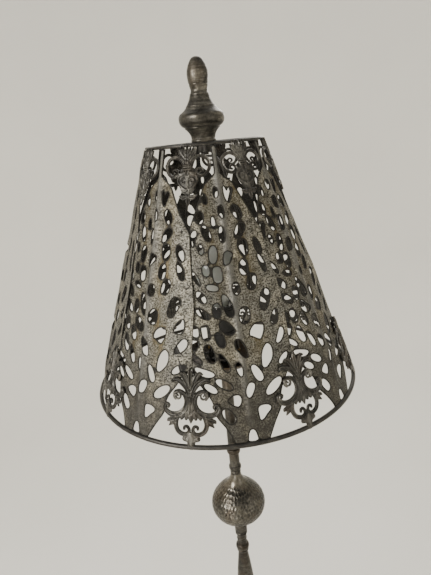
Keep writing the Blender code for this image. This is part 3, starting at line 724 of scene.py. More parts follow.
# A stroke: its line, half widths at its ends and between, the ridge it carries and its height.
LOWER_STROKES = [
    ([(0, 1.6), (0, 6)], [4.5, 4.6], "flat", 1.5),
    ([(0, 3.6), (0, 9.2), (0, 15.4)], [2.6, 6, 1.8], "round", 2.7),
    ([(3.2, 8.2), (7.6, 9.4)], [2.8, 2.9], "dome", 2.4),
    ([(0, 12.6), (4.4, 12), (8.4, 12.6)], [2, 2.2, 1.8], "round", 2),
    ([(0, 34), (0, 31.2), (0, 27)], [3.6, 2.6, 0.5], "round", 2),
    ([(4.4, 38.6), (5, 34), (5.6, 31.6)], [2.4, 2.6, 1.9], "round", 1.9),
    ([(8.8, 37.8), (10.2, 33.6), (11, 31.4)], [2.4, 2.6, 1.6], "round", 1.9),
    ([(9, 38.6), (14, 35.6), (17, 29.8), (17.6, 23.6), (15, 17.6), (10, 14.6), (5.4, 14.6), (2.6, 17.4),
      (2.5, 21), (4.6, 23.4), (7.4, 22.6), (7.8, 20.4)],
     [2.4, 2.7, 2.8, 2.8, 2.8, 2.7, 2.5, 2.1, 1.9, 1.8, 1.7, 1.4], "double", 2.4),
    ([(17.6, 31), (22.6, 29.8), (26.4, 28.6), (28, 26.8)], [2.6, 2.8, 2.2, 0.5], "vein", 2.1),
    ([(18.6, 27.4), (22.6, 25.6), (26, 22.2)], [2.6, 2.5, 0.5], "vein", 2.2),
    ([(14.6, 56.8), (16, 58.2), (17.6, 56.6), (16.6, 54), (13.8, 53.4), (11.6, 55.6), (12, 59.2), (15.4, 61),
      (18.8, 59), (19.2, 55.2), (17.4, 52.6)],
     [1.1, 1.1, 1.2, 1.2, 1.2, 1.1, 1.2, 1.4, 1.4, 1.3, 1], "round", 2.7),
    ([(19.4, 56.4), (18, 60.6), (13.4, 62), (8.6, 60), (5.4, 55.4), (4.5, 49.4), (6.6, 42.6), (12, 37.4),
      (19, 35.2), (25.6, 36.2), (30, 39.6), (30.8, 43.6), (28.4, 46.6), (25.6, 45.2), (26.6, 42.6)],
     [1.4, 1.8, 2.3, 2.6, 2.8, 3, 3.3, 3.5, 3.5, 3.2, 2.8, 2.4, 2, 1.6, 1.3], "double", 2.6),
    ([(0, 38), (0, 50), (0, 64)], [4.2, 2, 2.4], "vein", 2),
    ([(1.6, 58), (4.6, 65.2), (9.4, 71), (14.8, 74.6), (19.4, 74.4), (21.6, 71.6)],
     [2.2, 2.8, 3.1, 2.9, 2.1, 0.9], "double", 2.7),
    ([(1, 62), (3.4, 70.6), (7, 77.6), (10.6, 81.6), (13.8, 80.8)], [1.8, 2.5, 2.9, 2.4, 0.9], "double", 2.8),
    ([(0.8, 66), (2.6, 73), (5.2, 79.6), (6.8, 83.4)], [1.4, 1.9, 1.9, 0.7], "vein", 2.7),
    ([(0, 66), (0, 76), (0, 82), (0, 88.2)], [1.6, 2.8, 3, 0.5], "vein", 3.1),
]
UPPER_STROKES = [
    ([(0, 267.6), (0, 272), (0, 277), (0, 285)], [0.8, 2.9, 2.4, 2.2], "vein", 2.3),
    ([(1.6, 277.2), (5.4, 276.4), (8.8, 278)], [2.2, 2.9, 1.3], "vein", 2.2),
    ([(1.4, 282), (4.4, 282.8), (7, 285.6)], [2.2, 2.4, 1.3], "vein", 2.1),
    ([(0, 300), (0, 293), (0, 285)], [11.4, 10.6, 4.6], "flat", 1),
    ([(0, 299.6), (4.6, 301.8), (9.8, 299.6), (10.8, 294.2), (7.2, 288.6), (1.4, 284.6)],
     [1.1, 1.2, 1.3, 1.3, 1.2, 1], "round", 2.2),
    ([(2, 296.4), (5, 297.8), (7.2, 295), (5.4, 292.2), (3.4, 293.6)], [0.8, 0.9, 1, 0.9, 0.8], "round", 1.9),
    ([(0, 286), (0, 292), (0, 298)], [0.9, 1.5, 1.2], "round", 2),
    ([(4, 303.6), (8, 302.8)], [2.4, 2], "dome", 2.2),
    ([(0, 300), (0, 308), (0, 318)], [3.4, 3, 2.2], "double", 2.3),
    ([(-3.8, 307.6), (3.8, 307.6)], [0.9, 0.9], "round", 3),
    ([(-3.6, 309.8), (3.6, 309.8)], [0.9, 0.9], "round", 3),
    ([(-3.4, 312), (3.4, 312)], [0.9, 0.9], "round", 3),
    ([(2.6, 305), (3.6, 312), (7, 318.4), (12.6, 321.6), (18.8, 320.2), (23.4, 315.2), (24.2, 308.4), (21, 302),
      (15.6, 299.6), (11.2, 301.4), (10.2, 305), (12.6, 307.8), (16, 306.8), (16.4, 304.2), (14.4, 303.4)],
     [1.8, 2, 2, 2, 2, 2, 2, 2, 1.9, 1.8, 1.6, 1.4, 1.3, 1.2, 1.1], "double", 2.5),
    ([(0, 314), (0, 324), (0, 333.2)], [1.8, 2.2, 1.4], "vein", 2.4),
    ([(0.6, 315), (4.8, 320.6), (8.4, 325.6), (10, 330.6)], [1.3, 1.8, 2, 1.1], "vein", 2.3),
    ([(0.6, 319), (4, 324.4), (6.8, 329.2), (7.6, 333)], [1.2, 1.6, 1.7, 1.1], "vein", 2.5),
    ([(0.6, 323), (2.8, 328.2), (4.2, 333)], [1.1, 1.3, 1], "vein", 2.6),
]


def ridge(kind, share):
    """The relief across a stroke: share is 0 on its middle line and 1 at its side."""
    fall = np.sqrt(np.clip(1.0 - share**2, 0.0, 1.0))
    if kind == "dome":
        return fall
    if kind == "round":
        return 0.25 + 0.75 * fall
    if kind == "double":
        side = np.exp(-(((share - 0.62) / 0.20) ** 2))
        return np.where(share > 0.62, 0.25 + 0.75 * np.clip((1.0 - share) / 0.38, 0, 1) ** 0.5, 0.45 + 0.55 * side)
    if kind == "vein":
        return np.clip(0.42 + 1.1 * share, 0, 1) * (0.30 + 0.70 * np.clip((1.0 - share) / 0.5, 0, 1) ** 0.6)
    return 0.6 + 0.4 * np.clip((1.0 - share) * 3.0, 0, 1)


def relief(strokes, pitch=0.62):
    """Turns strokes and their mirror images into one raised, smoothly bounded sheet.

    Returns the points (x, s, height) and faces, cut along the line where the strokes end.
    """
    lines = []
    for route, halves, kind, height in strokes:
        fine = spline(route, 7) if len(route) > 2 else [tuple(p) for p in np.linspace(route[0], route[1], 8)]
        share = np.linspace(0, len(halves) - 1, len(fine))
        widths = np.interp(share, range(len(halves)), halves)
        pts = np.array(fine, float)
        lines.append((pts, widths, kind, height))
        if np.abs(pts[:, 0]).max() > 0.2 and pts[:, 0].min() > -0.5:
            lines.append((pts * np.array([-1.0, 1.0]), widths, kind, height))
    low_x = min(p[:, 0].min() for p, *_ in lines) - 4
    high_x = -low_x
    low_s = min(p[:, 1].min() for p, *_ in lines) - 4
    high_s = max(p[:, 1].max() for p, *_ in lines) + 4
    xs = np.arange(low_x, high_x + pitch, pitch)
    ss = np.arange(low_s, high_s + pitch, pitch)
    gx, gs = np.meshgrid(xs, ss, indexing="ij")
    field = np.full(gx.shape, -9.0)
    top = np.zeros(gx.shape)
    for pts, widths, kind, height in lines:
        best = np.full(gx.shape, -9.0)
        near = np.full(gx.shape, 9.0)
        for (x0, s0), (x1, s1), w0, w1 in zip(pts[:-1], pts[1:], widths[:-1], widths[1:]):
            dx, ds = x1 - x0, s1 - s0
            length = dx * dx + ds * ds or 1e-9
            t = np.clip(((gx - x0) * dx + (gs - s0) * ds) / length, 0, 1)
            away = np.hypot(gx - x0 - t * dx, gs - s0 - t * ds)
            wide = w0 + t * (w1 - w0)
            best = np.maximum(best, wide - away)
            near = np.minimum(near, away / wide)
        field = np.maximum(field, best)
        rises = height * ridge(kind, np.clip(near, 0, 1))
        top = np.maximum(top, np.where(near <= 1.02, rises, 0.0))
    points, faces, numbers = [], [], {}

    def corner(i, j):
        if (i, j) not in numbers:
            numbers[i, j] = len(points)
            points.append((xs[i], ss[j], top[i, j]))
        return numbers[i, j]

    def crossing(a, b):
        key = (min(a, b), max(a, b))
        if key not in numbers:
            a, b = key
            fa, fb = field[a], field[b]
            t = fa / (fa - fb)
            x = xs[a[0]] + t * (xs[b[0]] - xs[a[0]])
            s = ss[a[1]] + t * (ss[b[1]] - ss[a[1]])
            numbers[key] = len(points)
            points.append((x, s, max(0.35, min(top[a], top[b]))))
        return numbers[key]

    for i in range(len(xs) - 1):
        for j in range(len(ss) - 1):
            ring = [(i, j), (i + 1, j), (i + 1, j + 1), (i, j + 1)]
            full = [field[c] > 0 for c in ring]
            if not any(full):
                continue
            face = []
            for k in range(4):
                a, b = ring[k], ring[(k + 1) % 4]
                if field[a] > 0:
                    face.append(corner(*a))
                if (field[a] > 0) != (field[b] > 0):
                    face.append(crossing(a, b))
            if len(face) > 2:
                faces.append(face)
    return points, faces


def make_ornaments(kind, strokes, lift):
    points, faces = relief(strokes)
    peak = max(p[2] for p in points)
    for number in range(1, LEAVES + 1):
        node = f"{kind}_ornament_{number}"
        heading = heading_of(node)
        mesh = bpy.data.meshes.new(f"cast_{node}")
        mesh.from_pydata([on_cone(x, s, lift + h, heading) for x, s, h in points], [], faces)
        store(mesh, "height", [h / peak for _, _, h in points])
        thicken(place_piece(f"cast_{node}", mesh, node), "Casting", CASTING * MM)
        smooth(mesh, 60.0)


# ---------------------------------------------------------------- turned pieces


def lathe(name, rows, steps=72, closed=False):
    """A mesh turned from (radius, height) rows, listed down the outer side."""
    shape = bmesh.new()
    rings = []
    for radius, height in rows:
        if radius < 1e-6:
            rings.append([shape.verts.new((0.0, 0.0, height))])
        else:
            ring = []
            for k in range(steps):
                angle = math.tau * k / steps
                ring.append(shape.verts.new((radius * math.cos(angle), radius * math.sin(angle), height)))
            rings.append(ring)
    pairs = list(zip(rings, rings[1:]))
    if closed:
        pairs.append((rings[-1], rings[0]))
    for upper, lower in pairs:
        for k in range(steps):
            j = (k + 1) % steps
            if len(upper) == 1 and len(lower) == 1:
                continue
            if len(upper) == 1:
                shape.faces.new((upper[0], lower[k], lower[j]))
            elif len(lower) == 1:
                shape.faces.new((upper[j], upper[k], lower[0]))
            else:
                shape.faces.new((upper[j], upper[k], lower[k], lower[j]))
    bmesh.ops.recalc_face_normals(shape, faces=shape.faces)
    return as_mesh(name, shape)


def turned(name, node, rows, steps=72, closed=False):
    return finished(lathe(name, rows, steps, closed), node, 38.0)


def knurl(mesh, beyond, teeth, depth):
    """Cuts upright teeth in the points farther than beyond from the axis."""
    for vertex in mesh.vertices:
        if vertex.co.xy.length > beyond:
            vertex.co.xy *= 1 + depth * math.cos(teeth * math.atan2(vertex.co.y, vertex.co.x))


def bored(rows, bore):
    """Outer rows closed by a straight bore."""
    return [*rows, (bore, rows[-1][1]), (bore, rows[0][1])]


def eased(rows, ease=0.0004):
    """A line with each sharp corner replaced by a small round."""
    out = [rows[0]]
    for before, here, after in zip(rows, rows[1:], rows[2:]):
        a = Vector(before) - Vector(here)
        b = Vector(after) - Vector(here)
        size = min(ease, a.length / 2.5, b.length / 2.5)
        if size < 1e-6 or a.angle(b, 0) > math.radians(150):
            out.append(tuple(here))
            continue
        start, end = Vector(here) + a.normalized() * size, Vector(here) + b.normalized() * size
        for t in (0.0, 0.33, 0.67, 1.0):
            point = start.lerp(Vector(here), t).lerp(Vector(here).lerp(end, t), t)
            out.append(tuple(point))
    out.append(rows[-1])
    return out


def contour(*segments):
    """Profile segments in mm made into metre rows.

    Each segment goes on from the last one's end; it is a smooth curve if that makes three points or more.
    """
    rows, last = [], []
    for segment in segments:
        whole = [*last, *segment]
        line = spline(whole, 5) if len(whole) > 2 else whole
        rows += line[1:] if rows else line
        last = [segment[-1]]
    return metres(eased(rows, 0.4))


def make_turned():
    pole = {
        "column_foot": [
            [(9.5, 120), (12.2, 119.2), (13.2, 116), (12.2, 112.5), (9.5, 111)],
            [(10, 106), (14.5, 95), (19, 85), (18.6, 77), (14, 68), (10.5, 62.5)],
            [(12.8, 61.4), (13.2, 59.6), (12.6, 57.8), (11.2, 56.6)],
            [(15, 55), (22.5, 51.5), (26.8, 49)],
            [(28, 48.2)],
            [(28, 46.3)],
        ],
        "lower_tube": [[(7.95, 470), (7.95, 120.3)]],
        "column_ring": [
            [(8.8, 499.7), (11.2, 498.5), (12.4, 495), (11.2, 491.5), (9, 490)],
            [(12.2, 488.5), (13.7, 485), (12.2, 481.5), (9, 480)],
            [(10.6, 478.5), (11.2, 475), (10.6, 471.5), (9.5, 470.3)],
        ],
        "tapered_column": [
            [(7.65, 879.7), (8.75, 870), (11.4, 847), (13.3, 826), (15.2, 795), (15.8, 765), (15.2, 725),
             (12.8, 650), (10.2, 570), (8.9, 512)],
            [(10.2, 510.8), (10.2, 508.6), (8.9, 507.4)],
            [(8.5, 500)],
        ],
        "neck_bead": [
            [(7.65, 902.2), (8, 896)],
            [(9.8, 894.6), (10.85, 890.5), (10, 886.4), (8.8, 885)],
            [(9.7, 883.9), (9.2, 881.8), (7.65, 880)],
        ],
        "ball_stem": [
            [(10, 952), (10, 936.6)],
            [(9.5, 936.2), (9.5, 935.4), (10, 935)],
            [(10, 925)],
            [(9.5, 924.6), (9.5, 923.8), (10, 923.4)],
            [(9.9, 922.2), (8, 920.5)],
            [(9.2, 919.5), (9.7, 918), (9.2, 916.5), (8, 915.5)],
            [(7.65, 913), (7.65, 908)],
            [(8.2, 907.4), (8.2, 906.2), (7.65, 905.6)],
            [(7.65, 902.5)],
        ],
        "ball_cap": [
            [(7.95, 1054.7), (8.1, 1051.5)],
            [(9.2, 1050.5), (9.6, 1047.5), (9.2, 1044.8), (7.8, 1043.5)],
            [(7.4, 1042), (7.6, 1040.6)],
            [(8.2, 1039.8), (8.2, 1038.6), (7.7, 1037.8)],
            [(7.9, 1036.6)],
        ],
        "short_tube": [[(7.95, 1073.7), (7.95, 1055)]],
        "tube_collar": [[(8.6, 1082.2), (9.9, 1081.4), (10.45, 1078.1), (9.9, 1074.8), (8.6, 1074)]],
        "upper_tube": [[(7.95, 1228.2), (7.95, 1082.5)]],
    }
    for node, segments in pole.items():
        bore = 0.0068 if node.endswith("tube") else 0.0051
        turned(f"turned_{node}", node, bored(contour(*segments), bore), closed=True)

    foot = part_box("finial")[0].z / MM
    finial = [
        [(0, 97.3), (3.2, 96.9), (6.2, 95.2), (9, 91.4), (11.2, 86.4), (12.7, 80.8), (13, 76.6), (12.5, 71.6),
         (11.9, 67.6)],
        [(11.4, 67.1), (11.3, 66.3), (11.6, 65.8)],
        [(10.8, 62.6), (10.2, 60.2), (10.3, 58.4), (11.2, 56.2)],
        [(11.7, 55.8), (11.7, 55.2)],
        [(12.9, 51), (15, 46.4), (17.3, 42.6)],
        [(17.8, 42.3), (17.9, 41.8)],
        [(18.7, 40.3), (19.7, 39)],
        [(20.1, 38.8), (20.3, 38.3)],
        [(21.5, 37.3), (23.6, 35.6)],
        [(26.9, 33), (28.3, 29.6), (28.4, 26.4), (27.6, 22.8), (25.4, 19.6), (22.9, 17.9)],
        [(22, 17.6), (22.3, 16.6)],
        [(19, 13.4), (16.4, 9.8), (15.2, 6.4), (14.9, 3.2)],
        [(15.5, 2.3), (15.4, 0.8), (14.8, 0)],
        [(3.6, 0)],
        [(3.6, 17)],
        [(0, 17)],
    ]
    rows = contour(*[[(r, foot + z) for r, z in segment] for segment in finial])
    mesh = lathe("turned_finial", rows, 96)
    for vertex in mesh.vertices:
        if vertex.co.xy.length > 0.005:
            dent = 0.00022 * noise.noise(vertex.co * 90) + 0.00008 * noise.noise(vertex.co * 420)
            vertex.co.xy *= 1 + dent / vertex.co.xy.length
    finished(mesh, "finial")


def make_ball():
    """A raised onion-shaped ball beaten with upright oval dents, longer near its neck."""
    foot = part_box("hammered_ball")[0].z
    side = [(8.0, 83.7), (8.5, 80.4), (9.4, 77.2), (12.5, 70.7), (18.5, 64.3), (26.0, 57.8), (34.5, 48.8),
            (40.2, 39.8), (42.6, 30.4), (41.5, 20.9), (37.0, 12.0), (29.5, 5.2), (20.0, 1.2), (10.2, 0.1)]
    outer = [(radius * MM, foot + height * MM) for radius, height in spline(side, 10)]
    steps = 240
    gone, runs = 0.0, []
    for k, here in enumerate(outer):
        gone += (Vector(here) - Vector(outer[k - 1])).length if k else 0.0
        runs.append(gone)
    start = 0.014
    rows, top = [], start
    while top < gone - 0.006:
        down = min(1.0, (top - start) / 0.06)
        tall = 0.0105 - 0.0045 * down
        middle = np.interp(top + tall / 2, runs, [radius for radius, _ in outer])
        wide = 0.0044 + 0.0014 * down
        count = max(6, round(math.tau * middle / wide))
        shifts = [random.uniform(-0.26, 0.26) for _ in range(count)]
        drops = [random.uniform(-0.28, 0.28) for _ in range(count)]
        rows.append((top + tall / 2, tall, count, shifts, drops, (len(rows) % 2) / 2))
        top += tall * 0.80
    inner = [(radius - BALL_WALL, height - BALL_DROP) for radius, height in outer[:3:-1]]
    mesh = lathe("beaten_ball", outer + inner, steps)
    heights = [1.0] * len(mesh.vertices)
    for index, vertex in enumerate(mesh.vertices):
        level = index // steps
        if level >= len(outer):
            continue
        run, radius = runs[level], outer[level][0]
        angle = math.atan2(vertex.co.y, vertex.co.x) % math.tau
        spans = []
        for centre, tall, count, shifts, drops, stagger in rows:
            if abs(run - centre) > tall * 1.6:
                continue
            cell = math.floor(angle / math.tau * count - stagger)
            for near in (cell - 1, cell, cell + 1):
                number = near % count
                turn = (near + 0.5 + stagger + shifts[number]) / count * math.tau
                across = (angle - turn) * radius / (math.tau * radius / count)
                spans.append(math.hypot(across, (run - centre - drops[number] * tall) / tall))
        if len(spans) < 2:
            continue
        spans.sort()
        wall = min(1.0, (spans[1] - spans[0]) / 0.55)
        fade = clamp((run - 0.016) / 0.010) * clamp((gone - 0.008 - run) / 0.006)
        hollow = (1 - (1 - wall) ** 2) * fade
        vertex.co.xy *= 1 - DENT_DEPTH * hollow / radius
        heights[index] = 0.92 - 0.46 * hollow
    store(mesh, "height", heights)
    finished(mesh, "hammered_ball", 60.0)


def make_base():
    outer = contour(
        [(5.4, 46.0), (30.0, 46.0)],
        [(40.0, 45.3), (50.0, 43.0), (57.0, 39.6), (60.2, 35.6)],
        [(61.2, 34.4), (63.5, 34.2)],
        [(90.0, 31.9), (116.0, 28.0), (131.0, 23.2), (137.6, 17.6), (138.6, 13.4)],
        [(139.9, 12.2), (140.0, 9.8), (139.2, 8.8)],
        [(139.2, 3.5)],
    )
    inner = [(max(0.0054, radius - COVER_WALL), height - COVER_WALL) for radius, height in outer[:-1]]
    inner.append((outer[-1][0] - COVER_WALL, outer[-1][1]))
    mesh = lathe("spun_base_cover", outer + inner[::-1], 144, closed=True)
    cover = finished(mesh, "base_cover")
    low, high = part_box("cord_bushing")
    centre = (low + high) / 2
    cutter = in_scene("cutter", lathe("cutter", [(0, 0.02), (0.0054, 0.02), (0.0054, -0.02), (0, -0.02)], 48))
    cutter.rotation_euler = (math.pi / 2, 0.0, 0.0)
    cutter.location = centre
    cut = cover.modifiers.new("Cord hole", "BOOLEAN")
    cut.object = cutter
    cut.solver = "EXACT"
    bpy.context.view_layer.update()
    graph = bpy.context.evaluated_depsgraph_get()
    drilled = bpy.data.meshes.new_from_object(cover.evaluated_get(graph))
    cover.modifiers.clear()
    cover.data = drilled
    bpy.data.objects.remove(cutter)
    smooth(drilled)

    reach = high.y
    rows = [(7.2, 0.0), (7.2, -0.9), (6.6, -1.6), (5.2, -1.6), (5.0, -2.2), (5.0, -6.2)]
    rows = bored(metres(eased(rows, 0.3)), 0.0034)
    mesh = lathe("moulded_bushing", rows, 48, closed=True)
    mesh.transform(Matrix.Translation((0.0, reach, centre.z)) @ Matrix.Rotation(-math.pi / 2, 4, "X"))
    finished(mesh, "cord_bushing")

    rows = [(0.0, 2.5), (60.0, 2.5), (127.3, 2.5), (127.9, 2.1), (128.0, 1.2), (127.8, 0.3), (127.2, 0.0),
            (60.0, 0.0), (0.0, 0.0)]
    mesh = lathe("felt_disc", metres(rows), 180)
    for vertex in mesh.vertices:
        reach = vertex.co.xy.length
        if reach > 0.1:
            vertex.co.xy *= 1 - 0.0004 * abs(noise.noise(vertex.co * 300)) / reach
    finished(mesh, "felt_pad", 60.0)


# ---------------------------------------------------------------- rings, harp, holder and bulb


def swept(name, route, radius, sides=16, closed=False):
    """A round wire along a route of 3-D points; radius may be one number or one for each point."""
    count = len(route)
    radii = [radius] * count if isinstance(radius, float) else radius
    points = [Vector(p) for p in route]
    shape = bmesh.new()
    rings = []
    across = None
    for k, point in enumerate(points):
        before = points[k - 1] if closed or k else point
        after = points[(k + 1) % count] if closed or k < count - 1 else point
        ahead = (after - before).normalized()
        if across is None:
            across = ahead.orthogonal().normalized()
        across = (across - ahead * across.dot(ahead)).normalized()
        other = ahead.cross(across)
        ring = []
        for side in range(sides):
            angle = math.tau * side / sides
            ring.append(shape.verts.new(point + (across * math.cos(angle) + other * math.sin(angle)) * radii[k]))
        rings.append(ring)
    pairs = list(zip(rings, rings[1:]))
    if closed:
        first = rings[0]
        shift = min(range(sides), key=lambda j: (rings[-1][0].co - first[j].co).length)
        pairs.append((rings[-1], first[shift:] + first[:shift]))
    else:
        shape.faces.new(rings[0][::-1])
        shape.faces.new(rings[-1])
    for one, two in pairs:
        for side in range(sides):
            j = (side + 1) % sides
            shape.faces.new((one[side], one[j], two[j], two[side]))
    bmesh.ops.recalc_face_normals(shape, faces=shape.faces)
    return as_mesh(name, shape)


def make_rings():
    for node, radius, height, wire in (
        ("bottom_ring", RIM_RADIUS, RIM_HEIGHT, RIM_WIRE),
        ("top_ring", CROWN_RADIUS, CROWN_HEIGHT, CROWN_WIRE),
    ):
        steps = 240
        route, radii = [], []
        for k in range(steps):
            angle = math.tau * k / steps
            direction = Vector((math.cos(angle), math.sin(angle), 0.0))
            wobble = 0.00025 * noise.noise(direction * 3)
            route.append(direction * (radius + wobble) + Vector((0.0, 0.0, height + wobble)))
            weld = max(0.0, 1.0 - abs(math.remainder(angle - 1.9, math.tau)) / 0.03)
            radii.append(wire * (1 + 0.03 * noise.noise(direction * 40) + 0.18 * weld))
        mesh = swept(f"bent_{node}", route, radii, 18, closed=True)
        finished(mesh, node, 60.0)

    low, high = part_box("spider")
    crown = (low.z + high.z) / 2
    hub = eased([(3.7, 1.6), (12.0, 1.6), (12.0, -1.6), (3.7, -1.6)], 0.5)
    shape = bmesh.new()
    shape.from_mesh(lathe("hub", [(r * MM, crown + z * MM) for r, z in hub], 64, closed=True))
    for number in range(3):
        heading = math.tau * (number + 0.5) / 3 - math.pi / 2
        out = Vector((math.cos(heading), math.sin(heading), 0.0))
        route, radii = [], []
        for k in range(13):
            share = k / 12
            reach = 0.0100 + share * (CROWN_RADIUS - CROWN_WIRE - 0.0104)
            route.append(out * reach + Vector((0.0, 0.0, crown)))
            radii.append(0.0014 + 0.0006 * max(0.0, 1 - share * 8) + 0.0004 * max(0.0, share * 8 - 7))
        shape.from_mesh(swept("arm", route, radii, 14))
    mesh = as_mesh("welded_spider", shape)
    finished(mesh, "spider")


def widest_heading(node):
    """Direction of the node's farthest vertex from the lamp's axis, as a right-handed turn from +X."""
    far = max((v.co for v in frame["nodes"][node].data.vertices), key=lambda co: co.xy.length)
    return math.atan2(far.y, far.x)


def make_harp():
    turn = Matrix.Rotation(widest_heading("harp"), 4, "Z")
    low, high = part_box("harp")
    foot, top = low.z, high.z - 0.0016
    half = [(28.0, 0.0), (28.0, 12.0), (28.0, 22.0), (29.0, 28.5), (33.0, 38.5), (44.0, 58.5), (52.0, 82.5),
            (56.0, 112.5), (54.0, 145.5), (48.0, 180.5), (39.5, 215.5), (31.0, 242.5), (24.0, 258.5), (19.0, 264.6),
            (13.0, 266.9)]
    half = [(x * MM, foot + z * MM) for x, z in half]
    whole = half + [(0.0, top)] + [(-x, z) for x, z in reversed(half)]
    route = [turn @ Vector((x, 0.0, z)) for x, z in spline(whole, 6)]
    mesh = swept("bent_harp", route, 0.0016, 14)
    finished(mesh, "harp", 60.0)

    for side in ("left", "right"):
        node = f"harp_sleeve_{side}"
        low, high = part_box(node)
        centre = (low + high) / 2
        rows = [(2.4, 7.0), (3.0, 6.6), (3.0, 5.6), (2.7, 5.2), (2.7, -4.6), (3.0, -5.2), (3.0, -6.6), (2.5, -7.0)]
        mesh = lathe(f"drawn_{node}", bored(metres(eased(rows, 0.3)), 0.0020), 32, closed=True)
        mesh.transform(Matrix.Translation(centre))
        finished(mesh, node)

    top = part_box("harp_screw")[1].z / MM
    thread = [(0.0, 0.0), (2.3, 0.0)]
    for k in range(19):
        thread += [(2.55, -0.5 - 0.9 * k), (3.08, -0.95 - 0.9 * k)]
    rows = thread + [(2.9, -17.9), (6.9, -18.0), (7.6, -18.6), (7.6, -25.9), (6.9, -26.5), (5.0, -27.0),
                     (5.0, -29.5), (0.0, -29.5)]
    mesh = lathe("knurled_screw", metres(rows, top), 192)
    knurl(mesh, 0.0074, 36, 0.018)
    finished(mesh, "harp_screw", 30.0)


def make_holder():
    low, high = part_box("socket_dish")
    rim, foot = high.z / MM, low.z / MM
    top = contour([(54.9, rim - 0.3), (51.6, rim - 4.4), (40.0, rim - 11.5), (25.0, rim - 16.5),
                   (15.0, rim - 17.3)],
                  [(5.4, foot + 1.0)])
    under = contour([(5.4, foot), (15.0, foot + 0.2)],
                    [(25.0, foot + 1.1), (40.0, foot + 6.0), (52.3, foot + 13.0), (55.5, foot + 17.3)])
    bead = [(55.4 * MM, (rim - 0.2) * MM), (55.2 * MM, rim * MM)]
    turned("spun_dish", "socket_dish", top + under + bead, steps=128, closed=True)

    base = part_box("socket_cap")[0].z / MM
    rows = contour(
        [(5.1, base), (9.0, base)],
        [(9.0, base + 5.0)],
        [(11.5, base + 6.6), (15.2, base + 9.2), (18.4, base + 14.0), (19.5, base + 19.0)],
        [(19.6, base + 25.0)],
        [(18.0, base + 25.0)],
        [(17.9, base + 19.8), (13.5, base + 10.5), (5.1, base + 7.0)],
    )
    turned("pressed_socket_cap", "socket_cap", rows, closed=True)

    low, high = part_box("socket_shell")
    foot, rim = low.z / MM, high.z / MM
    line = [[(20.5, rim), (20.5, rim - 2.0)]]
    for at, below in ((rim - 2.0, rim - 5.0), (rim - 5.0, rim - 36.0), (rim - 36.0, rim - 39.0),
                      (rim - 39.0, foot)):
        line += [[(20.0, at - 0.5), (20.0, at - 1.0), (20.5, at - 1.5)], [(20.5, below)]]
    turned("pressed_socket_shell", "socket_shell", bored(contour(*line), 0.0195), steps=96, closed=True)

    low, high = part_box("switch_key")
    centre = (low + high) / 2
    out = Vector((centre.x, centre.y, 0.0)).normalized()
    aim = Matrix.Translation((0.0, 0.0, centre.z)) @ out.to_track_quat("Z", "Y").to_matrix().to_4x4()
    rows = [(0.0, 45.5), (3.6, 45.5), (5.0, 44.8), (5.5, 43.6), (5.5, 37.4), (5.0, 36.2), (3.4, 35.5), (1.8, 35.2),
            (1.8, 19.0), (0.0, 19.0)]
    mesh = lathe("moulded_key", metres(eased(rows, 0.3)), 96)
    knurl(mesh, 0.0052, 18, 0.022)
    mesh.transform(aim)
    finished(mesh, "switch_key", 30.0)
    rows = [(4.4, 23.2), (4.6, 22.6), (4.6, 19.8)]
    mesh = lathe("key_collar", bored([(2.2 * MM, 23.2 * MM)] + metres(rows), 0.0022), 32, closed=True)
    mesh.materials.append(FINISH["socket_black"])
    mesh.transform(aim)
    smooth(mesh)
    collar = in_scene("key_collar", mesh)
    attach(collar, BODY_OF["socket_shell"])


def make_bulb():
    low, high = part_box("bulb_base")
    foot, rim = low.z / MM, high.z / MM
    rows = [(0.0, rim), (12.2, rim), (12.7, rim - 0.8), (12.7, rim - 3.0)]
    for k in range(25):
        rows.append((12.75 + 0.42 * math.cos(math.tau * k / 6), rim - 3.6 - 0.72 * k))
    rows += [(12.0, foot + 6.0), (9.0, foot + 2.4), (5.2, foot + 0.9), (4.4, foot), (0.0, foot)]
    turned("screw_cap", "bulb_base", metres(rows))

    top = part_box("bulb_glass")[1].z / MM
    line = [(0.0, 0.0), (9.5, -1.4), (18.0, -6.0), (25.0, -14.0), (29.0, -24.0), (30.0, -32.0), (28.5, -42.0),
            (24.5, -52.0), (19.0, -63.0), (15.0, -73.0), (13.3, -84.4)]
    outer = metres(spline(line, 5), top)
    inner = [(max(0.0, r - GLASS_WALL), z - GLASS_WALL) for r, z in outer[:-1]] + [(0.0124, outer[-1][1])]
    inner[0] = (0.0, inner[0][1])
    turned("blown_bulb", "bulb_glass", outer + inner[::-1])


def finish_cad_nodes():
    """The pieces that stay as CAD get their slot's finish."""
    for name, obj in frame["nodes"].items():
        if obj.hide_render:
            continue
        obj.data.materials.clear()
        obj.data.materials.append(FINISH[SLOT_OF[name]])


# ---------------------------------------------------------------- floor, light and camera


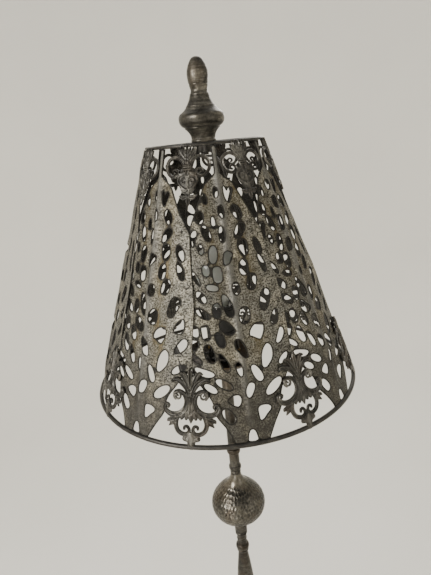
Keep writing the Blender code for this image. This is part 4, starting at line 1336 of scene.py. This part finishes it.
def make_stage():
    """A pale bowl-shaped studio sweep round the lamp."""
    curve = [(1.2, 0), (1.9, 0), (2.3, 0.03), (2.65, 0.16), (2.92, 0.44), (3.06, 0.9), (3.1, 1.5), (3.1, 4.1)]
    mesh = lathe("studio_sweep", [(0.0, 0.0), *spline(curve, 4)], 96)
    mesh.flip_normals()
    mesh.shade_smooth()
    n = Nodes("painted_sweep")
    place = n.coordinates()
    colour = n.ramp(n.noise(place, 1.3, 3.0, 0.5), [(0.3, (0.80, 0.785, 0.735)), (0.7, (0.84, 0.825, 0.775))])
    grain = n.noise(place, 260.0, 4.0, 0.6)
    rough = n.ramp(grain, [(0.3, 0.75), (0.7, 0.9)])
    mesh.materials.append(n.done(colour, rough, n.bump(grain, 0.05, 0.001)))
    sweep = in_scene("studio_sweep", mesh)
    sweep.location.z = -0.0003

    world = bpy.data.worlds.new("studio")
    world.use_nodes = True
    background = world.node_tree.nodes["Background"]
    background.inputs["Color"].default_value = (0.95, 0.93, 0.88, 1.0)
    background.inputs["Strength"].default_value = 0.80
    bpy.context.scene.world = world

    aim = Vector((0.0, 0.0, 1.30))
    for name, place, size, power in (
        ("key", (-1.75, -1.45, 2.15), 1.1, 68.0),
        ("fill", (1.9, -1.6, 1.6), 1.6, 9.0),
        ("back", (0.6, 2.1, 2.3), 1.6, 30.0),
        ("low", (-0.9, -1.9, 0.6), 1.0, 12.0),
    ):
        light = bpy.data.lights.new(name, "AREA")
        light.shape = "DISK"
        light.size = size
        light.energy = power
        light.color = (1.0, 0.97, 0.92)
        lamp = in_scene(name, light)
        lamp.location = place
        lamp.rotation_euler = (aim - Vector(place)).to_track_quat("-Z", "Y").to_euler()


def make_camera():
    """The photograph's view: from just above the shade's middle, looking down, tipped a little to the left."""
    data = bpy.data.cameras.new("camera")
    data.sensor_width = 36.0
    data.lens = 29.49
    data.clip_start = 0.02
    data.clip_end = 50.0
    camera = in_scene("camera", data)
    pitch, yaw, roll = math.radians(17.77), -0.0053, -0.0976
    ahead = Vector((math.sin(yaw) * math.cos(pitch), math.cos(yaw) * math.cos(pitch), -math.sin(pitch)))
    right = ahead.cross(Vector((0.0, 0.0, 1.0))).normalized()
    up = right.cross(ahead)
    across = right * math.cos(roll) + up * math.sin(roll)
    upward = up * math.cos(roll) - right * math.sin(roll)
    turn = Matrix((across, upward, -ahead)).transposed()
    camera.matrix_world = Matrix.Translation((0.0, -0.6161, RIM_HEIGHT + 0.3247)) @ turn.to_4x4()
    bpy.context.scene.camera = camera


make_leaves()
make_ornaments("lower", LOWER_STROKES, 1.1)
make_ornaments("upper", UPPER_STROKES, 1.0)
make_turned()
make_ball()
make_base()
make_rings()
make_harp()
make_holder()
make_bulb()
finish_cad_nodes()
make_stage()
make_camera()
